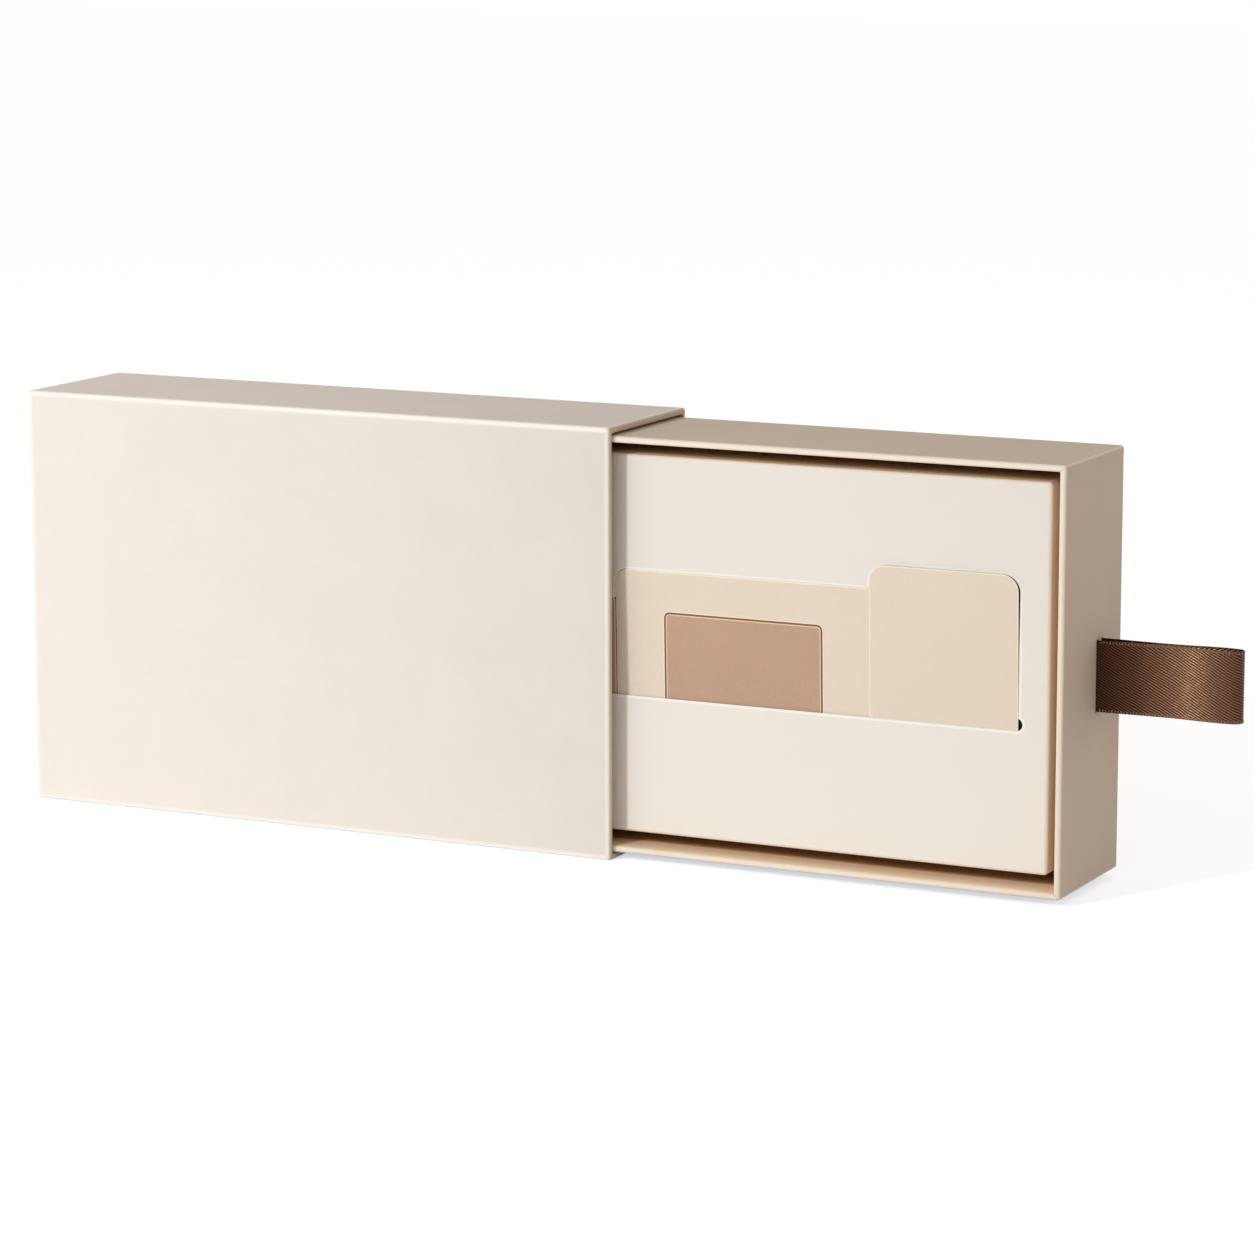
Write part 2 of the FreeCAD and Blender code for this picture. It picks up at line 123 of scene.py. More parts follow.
class Value:
    """One output socket of a node tree. Operators on it add Math nodes."""

    __add__ = __radd__ = math_method("ADD")
    __mul__ = __rmul__ = math_method("MULTIPLY")
    __sub__ = math_method("SUBTRACT")
    __truediv__ = math_method("DIVIDE")
    smaller = math_method("MINIMUM")
    larger = math_method("MAXIMUM")
    above = math_method("GREATER_THAN")
    size = math_method("ABSOLUTE")
    sine = math_method("SINE")
    power = math_method("POWER")

    def __init__(self, tree, socket):
        self.tree = tree
        self.socket = socket

    def __rsub__(self, other):
        return self.math("SUBTRACT", other, self)

    def math(self, operation, *values, clamp=False):
        node = self.tree.nodes.new("ShaderNodeMath")
        node.operation = operation
        node.use_clamp = clamp
        for slot, value in zip(node.inputs, values):
            connect(self.tree, value, slot)
        return Value(self.tree, node.outputs[0])

    def near(self, width):
        """1 where this distance is 0, falling to 0 at width."""
        return self.math("SUBTRACT", 1.0, self / width, clamp=True)


# %% A tree of nodes being written
class Tree:
    """A tree of nodes, with one way to add a node of any kind."""

    def __init__(self, tree):
        self.tree = tree
        tree.nodes.clear()

    def node(self, kind, settings=None, inputs=None, output=0):
        """Adds a node of any kind: settings first, then its sockets. Gives one output."""
        node = self.tree.nodes.new(kind)
        for setting, value in (settings or {}).items():
            setattr(node, setting, value)
        for slot, value in (inputs or {}).items():
            connect(self.tree, value, node.inputs[slot])
        return Value(self.tree, node.outputs[output]) if node.outputs else None

    def parts(self, vector):
        """The x, y and z of a vector."""
        x = self.node("ShaderNodeSeparateXYZ", inputs={0: vector})
        return [Value(self.tree, part) for part in x.socket.node.outputs]

    def place(self):
        """The object coordinates, where a millimetre is a millimetre on every piece."""
        return self.node("ShaderNodeTexCoord", output="Object")

    def noise(self, place, size, detail=2.0, roughness=0.5):
        """Cloudy noise from 0 to 1 whose blotches are about size across."""
        scaled = self.node(
            "ShaderNodeVectorMath", {"operation": "MULTIPLY"}, {0: place, 1: [1 / size] * 3}
        )
        return self.node(
            "ShaderNodeTexNoise",
            inputs={"Vector": scaled, "Scale": 1.0, "Detail": detail, "Roughness": roughness},
        )

    def shade(self, colour, factor):
        """A colour made lighter or darker by a factor."""
        return self.node(
            "ShaderNodeVectorMath", {"operation": "SCALE"}, {0: colour, "Scale": factor}
        )

    def mix(self, factor, first, second):
        """One colour turning into another."""
        return self.node(
            "ShaderNodeMix", {"data_type": "RGBA"}, {0: factor, 6: first, 7: second}, output=2
        )


class Finish(Tree):
    """A material: its Principled shader, and what feeds it."""

    def __init__(self, name, shader):
        self.material = bpy.data.materials.new(name)
        self.material.use_nodes = True
        super().__init__(self.material.node_tree)
        surface = self.node("ShaderNodeBsdfPrincipled", inputs=shader)
        self.surface = surface.socket.node
        self.node("ShaderNodeOutputMaterial", inputs={"Surface": surface})

    def colour(self, value):
        connect(self.tree, value, self.surface.inputs["Base Color"])

    def rough(self, value):
        connect(self.tree, value, self.surface.inputs["Roughness"])

    def bump(self, height, distance):
        """Raises the surface by height times distance."""
        bump = self.node(
            "ShaderNodeBump", inputs={"Height": height, "Distance": distance, "Strength": 1.0}
        )
        connect(self.tree, bump, self.surface.inputs["Normal"])


def srgb(red, green, blue):
    """A colour as a paint card gives it, 0 to 255, in the linear values that shaders use."""
    linear = [
        c / 12.92 if c <= 0.04045 else ((c + 0.055) / 1.055) ** 2.4
        for c in (red / 255, green / 255, blue / 255)
    ]
    return (*linear, 1.0)


# %% [markdown]
# ## Paper
# Covering paper on such a box is a cloudy sheet with a very fine grain. Near a board's edge a
# lighter tone is painted over a band, a broad one on the smooth cream sheet and a narrow one on
# the rougher beige: partly wear from stretching and rubbing over the edge, partly a painted
# highlight. The rim and the part turned in at the mouth get painted tones, painted shade on the
# sleeve and painted light on the drawer, and the sleeve's sheet gets a painted shade gradient,
# darker towards its open end and its top. A picture of paper would stretch over the folds, so
# the pattern is worked out in object space: clouds at two sizes, grain, and the distance to the
# box's nearest edge. On a box's surface one of the three distances to its faces is 0, and the
# middle one is the distance to the nearest edge.

# %% Paper, with painted edge highlights and painted shade
PAPER_CLOUD = 30 * MM
PAPER_PATCH = 6 * MM
PAPER_GRAIN = 0.36 * MM
PAPER_GLOSS = 0.12
PAPER_ROUGH = 0.6
PAPER_RELIEF = 0.011 * MM
CLOUDS = 0.07
# Painted highlight, partly wear, on the coverings' rounded edges
RUB_HIGHLIGHT_STRENGTH = 2.0
# Width of the rim's painted tone: painted shade on the sleeve, painted highlight on the drawer
RIM_PAINT_WIDTH = 0.9 * MM
SEAM_WIDTH = 0.22 * MM
SEAM_REACH = 1.6 * MM
SEAM_START = 0.9 * MM
SEAM_STRENGTH = 0.5
INSIDE_FROM = 2.3 * MM
INSIDE_RAMP = 0.5 * MM
INSIDE_MARGIN = 1.5


def wall_distances(axes, low, high):
    """How far a point is from the nearer of a box's two faces across each axis."""
    return [(axis - low[i]).smaller(high[i] - axis) for i, axis in enumerate(axes)]


def middle_one(a, b, c):
    """The middle one of three values."""
    return a.smaller(b).larger(a.larger(b).smaller(c))


def with_shade_slope(change, axes, shade_slope, box):
    """Painted shade: the change of tone, growing by a share per metre along each axis from the
    box's middle.
    """
    middle = (box[0] + box[1]) / 2
    for i in range(3):
        if shade_slope[i]:
            change = change + shade_slope[i] * (axes[i] - middle[i])
    return change


def paper(
    name, tone, box=None, rub_and_highlight=None, rim=None, inside=None, shade_slope=(0, 0, 0), grain=0.05
):
    """A sheet of paper, or with a box, the covering of that box.

    A covering's edges get a lighter tone over a width: partly wear from stretching and rubbing,
    partly a painted highlight. Its rim is given as an axis, the level on it and a painted tone,
    and the paper that is turned in as a painted tone and how far it reaches: painted shade on the
    sleeve, painted light on the drawer.
    """
    finish = Finish(name, {"Specular IOR Level": PAPER_GLOSS})
    place = finish.place()
    axes = finish.parts(place)
    cloud = finish.noise(place, PAPER_CLOUD, 3.0)
    patch = finish.noise(place, PAPER_PATCH)
    fibre = finish.noise(place, PAPER_GRAIN, 2.0, 0.6)
    change = CLOUDS * (cloud - 0.5) + 0.5 * CLOUDS * (patch - 0.5) + grain * (fibre - 0.5)
    if box:
        # Painted shade: the tone falls off across the box
        change = with_shade_slope(change, axes, shade_slope, box)
    colour = finish.shade(tone[:3], 1 + change)
    height = fibre + 0.6 * patch
    if box:
        axis, level, rim_painted_light = rim
        turned_in_painted_light, reach = inside
        rub_highlight_tone, rub_highlight_width = rub_and_highlight
        walls = wall_distances(axes, *box)
        first, second = walls[:axis] + walls[axis + 1 :]
        behind = (axes[axis] - level).size()
        within = first.smaller(second)
        # Painted highlight, partly wear: lighter near the box's edges, fading out at the mouth
        rub_highlight = (middle_one(*walls).near(rub_highlight_width) * RUB_HIGHLIGHT_STRENGTH).smaller(1.0)
        colour = finish.mix(rub_highlight * (1 - behind.near(rub_highlight_width)), colour, rub_highlight_tone)
        # Painted light on the rim by the mouth: painted shade on the sleeve, painted highlight on
        # the drawer
        colour = finish.mix(behind.near(RIM_PAINT_WIDTH), colour, rim_painted_light)
        # Painted light on the paper turned in at the mouth: darker as painted shade on the sleeve,
        # lighter as painted light on the drawer
        shallow = (INSIDE_MARGIN * reach - behind).above(0.0)
        turned_in = (INSIDE_FROM - within).near(INSIDE_RAMP) * shallow
        colour = finish.mix(turned_in, colour, finish.shade(turned_in_painted_light[:3], 1 + change))
        seam = (first - second).size().near(SEAM_WIDTH) * behind.near(SEAM_REACH)
        seam = seam * (1 - within.near(SEAM_START))
        colour = finish.mix(seam * SEAM_STRENGTH, colour, finish.shade(tone[:3], 0.5))
        height = height - seam
    finish.colour(colour)
    finish.rough(PAPER_ROUGH + 0.2 * (patch - 0.5))
    finish.bump(height, PAPER_RELIEF)
    return finish.material


# %% The papers of this box
SLEEVE_TURN_IN = 16 * MM
DRAWER_TURN_IN = 12 * MM

cream_paper = paper(
    "cream_paper",
    srgb(238, 231, 222),
    box=(SLEEVE_LOW, SLEEVE_HIGH),
    # painted highlight on the sleeve's edges, partly wear
    rub_and_highlight=(srgb(253, 248, 240), 2.3 * MM),
    # painted shade on the sleeve's rim, which faces away from the lamp
    rim=(0, SLEEVE_HIGH.x, srgb(200, 183, 162)),
    # painted shade: the sleeve's turned-in paper darker and browner than the same sheet outside
    inside=(srgb(176, 138, 98), SLEEVE_TURN_IN),
    # painted shade gradient: darker towards the open end and the top
    shade_slope=(-0.55, 0, -0.45),
)
beige_paper = paper(
    "beige_paper",
    srgb(214, 198, 181),
    box=(DRAWER_LOW, DRAWER_HIGH),
    # painted highlight on the drawer's edges, partly wear
    rub_and_highlight=(srgb(250, 234, 214), 1.0 * MM),
    # painted highlight on the drawer's rim
    rim=(1, DRAWER_LOW.y, srgb(250, 238, 221)),
    # painted light: the drawer's turned-in paper lighter than the same sheet outside
    inside=(srgb(252, 226, 195), DRAWER_TURN_IN),
    grain=0.09,
)
sleeve_lining_paper = paper("sleeve_lining_paper", srgb(190, 150, 108))
drawer_lining_paper = paper("drawer_lining_paper", srgb(206, 166, 122))
# Painted shade: the cards' backing is dark brown, so that the gap round the tan card reads as
# shade
brown_paper = paper("brown_paper", srgb(142, 100, 64))
print("papers made:", [m.name for m in bpy.data.materials if m.name.endswith("paper")])

# %% [markdown]
# ## Card and board
# The platform and the cards are cut from coloured card, which is smoother than the covering
# paper and shows tiny mottled fibres. A die leaves a cut edge that is lighter than the face, so
# card takes two materials; the lighter one is also laid in a narrow band on the face along the
# edges, as a painted highlight. Greyboard is recycled pulp, grey with darker and lighter flecks.

# %% Card, cut edges with painted highlights, and greyboard
CARD_CLOUD = 18 * MM
CARD_MOTTLE = 0.9 * MM
CARD_FIBRE = 0.3 * MM
CARD_ROUGH = 0.66
CARD_RELIEF = 0.012 * MM
BOARD_PULP = 7 * MM
BOARD_FLECK = 1.1 * MM
BOARD_RELIEF = 0.04 * MM


def card_stock(name, tone, mottle=0.06, shade_slope=(0, 0, 0), box=None):
    """Coloured card: a smooth face with fine mottling, and a painted shade gradient about the
    box's middle.
    """
    finish = Finish(name, {"Specular IOR Level": PAPER_GLOSS})
    place = finish.place()
    cloud = finish.noise(place, CARD_CLOUD, 3.0)
    mottled = finish.noise(place, CARD_MOTTLE, 3.0, 0.6)
    fibre = finish.noise(place, CARD_FIBRE, 2.0, 0.6)
    change = 0.5 * mottle * (cloud - 0.5) + mottle * (mottled - 0.5) + 0.4 * mottle * (fibre - 0.5)
    if box:
        # Painted shade: the tone falls off across the piece
        change = with_shade_slope(change, finish.parts(place), shade_slope, box)
    finish.colour(finish.shade(tone[:3], 1 + change))
    finish.rough(CARD_ROUGH + 0.15 * (mottled - 0.5))
    finish.bump(mottled + 0.5 * fibre, CARD_RELIEF)
    return finish.material


def greyboard_stock():
    """Recycled greyboard with flecks."""
    finish = Finish("greyboard", {"Specular IOR Level": 0.2})
    place = finish.place()
    fleck = finish.noise(place, BOARD_FLECK, 4.0, 0.7)
    pulp = finish.noise(place, BOARD_PULP, 3.0)
    finish.colour(finish.mix(fleck, srgb(118, 110, 100), srgb(168, 160, 150)))
    finish.rough(0.85 + 0.1 * (pulp - 0.5))
    finish.bump(fleck + pulp, BOARD_RELIEF)
    return finish.material


# %% The stocks of this box
# Painted shade: the panel is darker towards its top
PANEL_SHADE_SLOPE = (0, 0, -0.7)
panel_box = (PANEL_LOW, PANEL_HIGH)
platform_card = card_stock("platform_card", srgb(243, 238, 229), 0.03, PANEL_SHADE_SLOPE, panel_box)
# Painted shade: the platform's folded sides, the same card as its face, tinted darker and browner
# for the gaps round them
platform_side_shade = card_stock("platform_side_shade", srgb(232, 212, 186), 0.05)
# Painted highlight: the window's narrow band, and its cut edge, lighter than the face
platform_cut_and_highlight = card_stock("platform_cut_edge_and_highlight", srgb(255, 252, 246), 0.02)
beige_card = card_stock("beige_card", srgb(236, 222, 202), 0.1)
# The cards' cut edge, lighter fibre, and a painted highlight in a narrow band on the face
beige_cut_and_highlight = card_stock("beige_card_cut_edge_and_highlight", srgb(252, 241, 222), 0.03)
# Painted shade: the pocket is dark brown, so that the gaps round the cards and the slot's ends
# read as deep shade
shade_pocket_card = card_stock("shade_pocket_card", srgb(84, 58, 36))
tan_card = card_stock("tan_card_stock", srgb(199, 165, 140), 0.16)
# The tan cards' cut edge, lighter fibre, and a painted highlight in a narrow band on the face
tan_cut_and_highlight = card_stock("tan_card_cut_edge_and_highlight", srgb(238, 212, 188), 0.03)
greyboard = greyboard_stock()
print("stocks made:", [m.name for m in (platform_card, beige_card, tan_card, greyboard)])

# %% [markdown]
# ## Finishing the nodes that stay
# Boards, linings, ribs, flaps, pocket and patch already have the right shape, so they keep
# their CAD meshes and only get a material.

# %% Give each kept node its material
def wear(piece, *materials):
    """Gives a piece its materials, first slot first, and keeps which face wears which slot."""
    slots = piece.data.materials
    while len(slots) < len(materials):
        slots.append(None)
    while len(slots) > len(materials):
        slots.pop()
    for i, material in enumerate(materials):
        slots[i] = material


KEPT = {
    greyboard: [name for name in frame["nodes"] if name.endswith("_board")],
    sleeve_lining_paper: ["sleeve_lining"],
    drawer_lining_paper: ["drawer_lining", "ribbon_patch"],
    platform_card: ["platform_glue_flaps", "platform_ribs"],
    shade_pocket_card: ["card_pocket"],
    brown_paper: ["card_backing"],
}
for material, names in KEPT.items():
    for name in names:
        wear(frame["nodes"][name], material)
    print(material.name, "on", names)

# %% [markdown]
# ## Meshes from loops
# A paper covering is one sheet that runs from the closed end along the walls, over the rim and
# a little way inside. Every stage of that run is the same rounded rectangle at some inset and
# depth, so the whole skin is a stack of loops joined by quads. Next to each round stretch lies
# a loop a hair away, which keeps the shading of the flat faces flat.

# %% Helpers that turn loops into a piece
HAIR = 0.06 * MM
CORNER_STEPS = 8
SLOTS_KEPT = 3
CRISP_FROM = 38
CUT_EDGE_FROM = 60


def added(name, data):
    """A new object in the scene."""
    thing = bpy.data.objects.new(name, data)
    bpy.context.scene.collection.objects.link(thing)
    return thing


def mesh_of(sheet, name="sheet"):
    """A plain mesh from one that was being built."""
    mesh = bpy.data.meshes.new(name)
    sheet.to_mesh(mesh)
    sheet.free()
    return mesh


def finished(name, mesh, body, materials, replaced=()):
    """Wraps a mesh in an object that rides on a body and stands for CAD nodes."""
    piece = added(name, mesh)
    wear(piece, *materials)
    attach(piece, body)
    if replaced:
        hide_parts(*replaced)
    return piece


def settled(piece):
    """The piece's mesh with its modifiers applied."""
    view = bpy.context.evaluated_depsgraph_get()
    mesh = bpy.data.meshes.new_from_object(piece.evaluated_get(view), depsgraph=view)
    piece.modifiers.clear()
    return mesh


def arc(centre, radius, start, end, steps=CORNER_STEPS):
    """Points on an arc in a plane, from one angle in degrees to another."""
    angles = (math.radians(start + (end - start) * i / steps) for i in range(steps + 1))
    return [(centre[0] + radius * math.cos(a), centre[1] + radius * math.sin(a)) for a in angles]


def smoothed(mesh, angle=CRISP_FROM):
    """Smooth shading, with edges sharper than an angle in degrees kept crisp."""
    mesh.shade_smooth()
    mesh.set_sharp_from_angle(angle=math.radians(angle))
    return mesh


def bevelled(name, mesh, thickness, width, cutters=()):
    """Gives a skin its thickness on the inside, cuts it, rounds its cut edges and settles it.

    Empty slots keep each face's choice of material until the piece is given its own.
    """
    for _ in range(SLOTS_KEPT):
        mesh.materials.append(None)
    piece = added(name + "_raw", mesh)
    solid = piece.modifiers.new("thickness", "SOLIDIFY")
    solid.thickness = thickness
    solid.offset = -1
    solid.use_even_offset = True
    for cutter in cutters:
        cut = piece.modifiers.new("cut", "BOOLEAN")
        cut.operation = "DIFFERENCE"
        cut.solver = "EXACT"
        cut.object = cutter
    if width:
        edge = piece.modifiers.new("edge", "BEVEL")
        edge.width = width
        edge.segments = 2
        edge.limit_method = "ANGLE"
        edge.angle_limit = math.radians(CUT_EDGE_FROM)
    done = settled(piece)
    bpy.data.objects.remove(piece)
    for cutter in cutters:
        bpy.data.objects.remove(cutter)
    done.name = name
    return smoothed(done)


# %% A skin of rounded rectangles
EDGE_RADIUS = 1.15 * MM
RIM_INNER_RADIUS = 0.9 * MM
INNER_CORNER = 0.45 * MM
EDGE_STEPS = 5
LAP_EDGE = 0.1 * MM


def rectangle_loop(size, inset, radius, lap=None):
    """A rounded rectangle, anticlockwise, as (u, v, middle), where middle is 1 halfway round a
    corner and fades to 0 on both sides of that.

    A lap is a height and a step: above that height the side at high u lies a step further in.
    """
    step = lap[1] if lap else 0
    high_u, high_v = size[0] - inset - radius, size[1] - inset - radius
    low = inset + radius
    centres = [(high_u, low), (high_u - step, high_v), (low, high_v), (low, low)]
    points = []
    for corner, centre in enumerate(centres):
        start = 90 * corner - 90
        bend = arc(centre, radius, start, start + 90)
        out, end = (Vector(d) for d in arc((0, 0), HAIR, start, start + 90, 1))
        points.append((*(Vector(bend[0]) - end), 0))
        points += [(*p, max(0, 1 - abs(2 * i / CORNER_STEPS - 1) * 2)) for i, p in enumerate(bend)]
        points.append((*(Vector(bend[-1]) - out), 0))
        if lap and corner == 0:
            side = high_u + radius
            points += [(side, lap[0] - LAP_EDGE, 0), (side - step, lap[0], 0)]
    return points


def ring_of(sheet, points):
    """A closed ring of vertices."""
    return [sheet.verts.new(p) for p in points]


def strip_between(sheet, first, second, kind=0):
    """Quads from one ring to the next, wearing the material of that number."""
    for i, vert in enumerate(first):
        j = (i + 1) % len(first)
        sheet.faces.new((vert, first[j], second[j], second[i])).material_index = kind


def fill_between(sheet, rings):
    """Flat triangles between rings that lie in one plane, wearing the first material."""
    before = set(sheet.faces)
    edges = []
    for ring in rings:
        for i, vert in enumerate(ring):
            pair = (vert, ring[(i + 1) % len(ring)])
            edges.append(sheet.edges.get(pair) or sheet.edges.new(pair))
    bmesh.ops.triangle_fill(sheet, edges=edges, use_beauty=True, use_dissolve=False)
    for face in set(sheet.faces) - before:
        face.material_index = 0


def finished_sheet(sheet, facing=None):
    """The mesh of a sheet. Its faces are made to agree, and to look along facing."""
    bmesh.ops.recalc_face_normals(sheet, faces=sheet.faces)
    if facing and sum(face.normal.dot(facing) * face.calc_area() for face in sheet.faces) < 0:
        bmesh.ops.reverse_faces(sheet, faces=sheet.faces)
    return mesh_of(sheet)


def joined_loops(loops):
    """Quads between loops of points, and one face across the first loop."""
    sheet = bmesh.new()
    rings = [ring_of(sheet, loop) for loop in loops]
    for first, second in zip(rings, rings[1:]):
        strip_between(sheet, first, second)
    sheet.faces.new(list(reversed(rings[0])))
    return mesh_of(sheet)


# %% [markdown]
# ## The box coverings
# The sleeve and the drawer are the same kind of box, so one path covers both. It is walked in
# two numbers: how far in from the outside, and how deep from the closed end. Quarter rounds
# follow the board's edges. At each corner of the rim the turned-in paper is mitred, which leaves
# a crease from the outer corner to the inner one: there the corner's middle points are pressed
# into the board. The sleeve's sheet ends in a lap along its back, and its closed end is covered
# by a separate end sheet. Both stand only a hair proud of the paper beside them, because the
# board's own corners lie close under it.

# %% The path of a covering
CREASE = 0.15 * MM
CREASE_START = 0.8
DIAGONAL = math.sqrt(0.5)


def quarter_round(first=0):
    """The angles of a quarter round, in steps."""
    return [math.radians(90 * i / EDGE_STEPS) for i in range(first, EDGE_STEPS + 1)]


def covering_path(depth, turn_in, recess=0.0):
    """Stages of a covering: round the closed end, along the wall, over the rim and inside.

    Each is an inset, a depth, and how far a corner's middle is pushed outwards and sunk.
    """
    r, inner, press = EDGE_RADIUS, RIM_INNER_RADIUS, CREASE * DIAGONAL
    turned = [(math.sin(a), math.cos(a)) for a in quarter_round()]
    path = [(r + HAIR, recess, 0, 0)]
    path += [(r - r * s, recess + r - r * c, 0, 0) for s, c in turned]
    path += [(0, recess + r + HAIR, 0, 0), (0, depth - r - HAIR, 0, 0)]
    for s, c in turned:
        grows = max(0, (s - CREASE_START) / (1 - CREASE_START))
        path.append((r - r * c, depth - r + r * s, -c * grows * press, s * grows * CREASE))
    for s, c in turned:
        stage = (WALL - inner + inner * s, depth - inner + inner * c)
        path.append((*stage, s * press, c * CREASE))
    return path + [(WALL, depth - inner - HAIR, press, 0), (WALL, depth - turn_in, press, 0)]


def stacked_loops(low, high, axes, radius, path, lap=None):
    """Loops for each stage of a path on the box between two corners, open along its third axis."""
    u, v, along = axes
    size = [abs((high - low).dot(axis)) for axis in axes]
    origin = Vector([low[i] if (u + v + along)[i] > 0 else high[i] for i in range(3)])
    loops = []
    for inset, depth, push, sink in path:
        here = lap and (lap[0], lap[1] if inset < WALL / 2 else 0)
        ring = []
        for a, b, middle in rectangle_loop(size, inset, max(radius - inset, INNER_CORNER), here):
            a += math.copysign(1, a - size[0] / 2) * middle * push
            b += math.copysign(1, b - size[1] / 2) * middle * push
            ring.append(origin + u * a + v * b + along * (depth - middle * sink))
        loops.append(ring)
    return loops


# %% Cover the sleeve
SLEEVE_AXES = (Vector((0, 1, 0)), Vector((0, 0, 1)), Vector((1, 0, 0)))
LAP = (14 * MM, 0.06 * MM)

sleeve_path = covering_path(SLEEVE_HIGH.x - SLEEVE_LOW.x, SLEEVE_TURN_IN, recess=LAP[1])
sleeve_skin = joined_loops(
    stacked_loops(SLEEVE_LOW, SLEEVE_HIGH, SLEEVE_AXES, EDGE_RADIUS, sleeve_path, LAP)
)
sleeve_covering = finished(
    "sleeve_covering",
    bevelled("sleeve_covering", sleeve_skin, PAPER, 0),
    "sleeve",
    [cream_paper],
    ["sleeve_wrap"],
)
print("sleeve covering:", len(sleeve_covering.data.polygons), "faces")

# %% [markdown]
# ## Slits for the ribbon
# The drawer's covering is cut through at the pull end, where the ribbon's two layers leave the
# wall. Exact booleans do that on the finished skin, so the slits have the paper's thickness.

# %% Cover the drawer and cut its slits
RIBBON_LOW, RIBBON_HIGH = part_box("ribbon_pull")
PULL_X = DRAWER_HIGH.x
INNER_X = PULL_X - WALL
LAYERS_APART = 5 * MM
LAYER_Y = (RIBBON_LOW.y + RIBBON_HIGH.y - LAYERS_APART) / 2
SLIT_WIDTH = 1.0 * MM
SLIT_END = 0.4 * MM


def box_cutter(low, high):
    """A box between two corners, to cut with."""
    cutter = bmesh.new()
    bmesh.ops.create_cube(cutter, size=1)
    mesh = mesh_of(cutter, "cutter")
    middle, size = (Vector(low) + Vector(high)) / 2, Vector(high) - Vector(low)
    mesh.transform(Matrix.Translation(middle) @ Matrix.Diagonal((*size, 1)))
    return added("cutter", mesh)


slits = [
    box_cutter(
        (INNER_X - WALL, y - SLIT_WIDTH / 2, RIBBON_LOW.z - SLIT_END),
        (PULL_X + WALL, y + SLIT_WIDTH / 2, RIBBON_HIGH.z + SLIT_END),
    )
    for y in (LAYER_Y, LAYER_Y + LAYERS_APART)
]
DRAWER_AXES = (Vector((1, 0, 0)), Vector((0, 0, 1)), Vector((0, -1, 0)))
drawer_path = covering_path(DRAWER_HIGH.y - DRAWER_LOW.y, DRAWER_TURN_IN)
drawer_skin = joined_loops(
    stacked_loops(DRAWER_LOW, DRAWER_HIGH, DRAWER_AXES, EDGE_RADIUS, drawer_path)
)
drawer_covering = finished(
    "drawer_covering",
    bevelled("drawer_covering", drawer_skin, PAPER, 0, slits),
    "drawer",
    [beige_paper],
    ["drawer_wrap"],
)
print("drawer covering:", len(drawer_covering.data.polygons), "faces")

# %% [markdown]
# ## Flat sheets
# The end sheet and the cards are flat pieces with an outline. Filling between an outline and its
# holes gives the face, the Solidify modifier its thickness and a small bevel the die's edge.

# %% Flat pieces from outlines
def flat_sheet(borders, placed, facing):
    """A face between outlines, each with its inner line.

    The band between an outline and its inner line wears the second material, a painted highlight.
    """
    sheet = bmesh.new()
    inner_rings = []
    for outline, inner_line in borders:
        outer = ring_of(sheet, [placed(*p) for p in outline])
        inner = ring_of(sheet, [placed(*p) for p in inner_line])
        strip_between(sheet, outer, inner, 1)
        inner_rings.append(inner)
    fill_between(sheet, inner_rings)
    return finished_sheet(sheet, facing)


def rounded_outlines(low, high, radii, *growths):
    """One rectangle for each growth, anticlockwise, with its own radius at each corner."""
    outlines = []
    for grow in growths:
        (u0, v0), (u1, v1) = (low[0] - grow, low[1] - grow), (high[0] + grow, high[1] + grow)
        corners = [(u0, v0, 1, 1), (u1, v0, -1, 1), (u1, v1, -1, -1), (u0, v1, 1, -1)]
        points = []
        for i, ((u, v, way_u, way_v), radius) in enumerate(zip(corners, radii)):
            start = 180 + 90 * i
            r = max(radius + grow, HAIR)
            points += arc((u + way_u * r, v + way_v * r), r, start, start + 90)
        outlines.append(points)
    return outlines


# %% Cut the end sheet
END_SHEET_INSET = 1.6 * MM
END_SHEET_BEVEL = 0.05 * MM
END_SHEET_CORNER = 0.5 * MM
end_size = (SLEEVE_HIGH.y - SLEEVE_LOW.y, SLEEVE_HIGH.z - SLEEVE_LOW.z)
end_low = (END_SHEET_INSET, END_SHEET_INSET)
end_high = (end_size[0] - END_SHEET_INSET - LAP[1], end_size[1] - END_SHEET_INSET)
end_lines = rounded_outlines(
    end_low, end_high, [END_SHEET_CORNER] * 4, 0, -END_SHEET_INSET / 4
)
end_mesh = flat_sheet(
    [end_lines],
    lambda a, b: Vector((SLEEVE_LOW.x, SLEEVE_HIGH.y - a, SLEEVE_LOW.z + b)),
    Vector((-1, 0, 0)),
)
end_sheet = finished(
    "sleeve_end_sheet",
    bevelled("sleeve_end_sheet", end_mesh, PAPER, END_SHEET_BEVEL),
    "sleeve",
    [cream_paper, cream_paper],
)
print("end sheet:", [round(c / MM, 2) for c in end_sheet.dimensions], "mm")

# %% [markdown]
# ## The cards
# Each card stands in the pocket and leans forward a little, as far as the lip and the window's
# top edge let it. Its real width, height and thickness are worked back from its box in the
# frame and the lean, so nothing is measured twice.

# %% A leaning card
CARD_BEVEL = 0.08 * MM
# Width of the painted highlight band inside each card's outline
CARD_HIGHLIGHT_BORDER = 0.4 * MM
CARD_FOOT = 0.3 * MM
UP = Vector((0, -math.sin(LEAN), math.cos(LEAN)))
BACK = Vector((0, math.cos(LEAN), math.sin(LEAN)))
ACROSS = Vector((1, 0, 0))


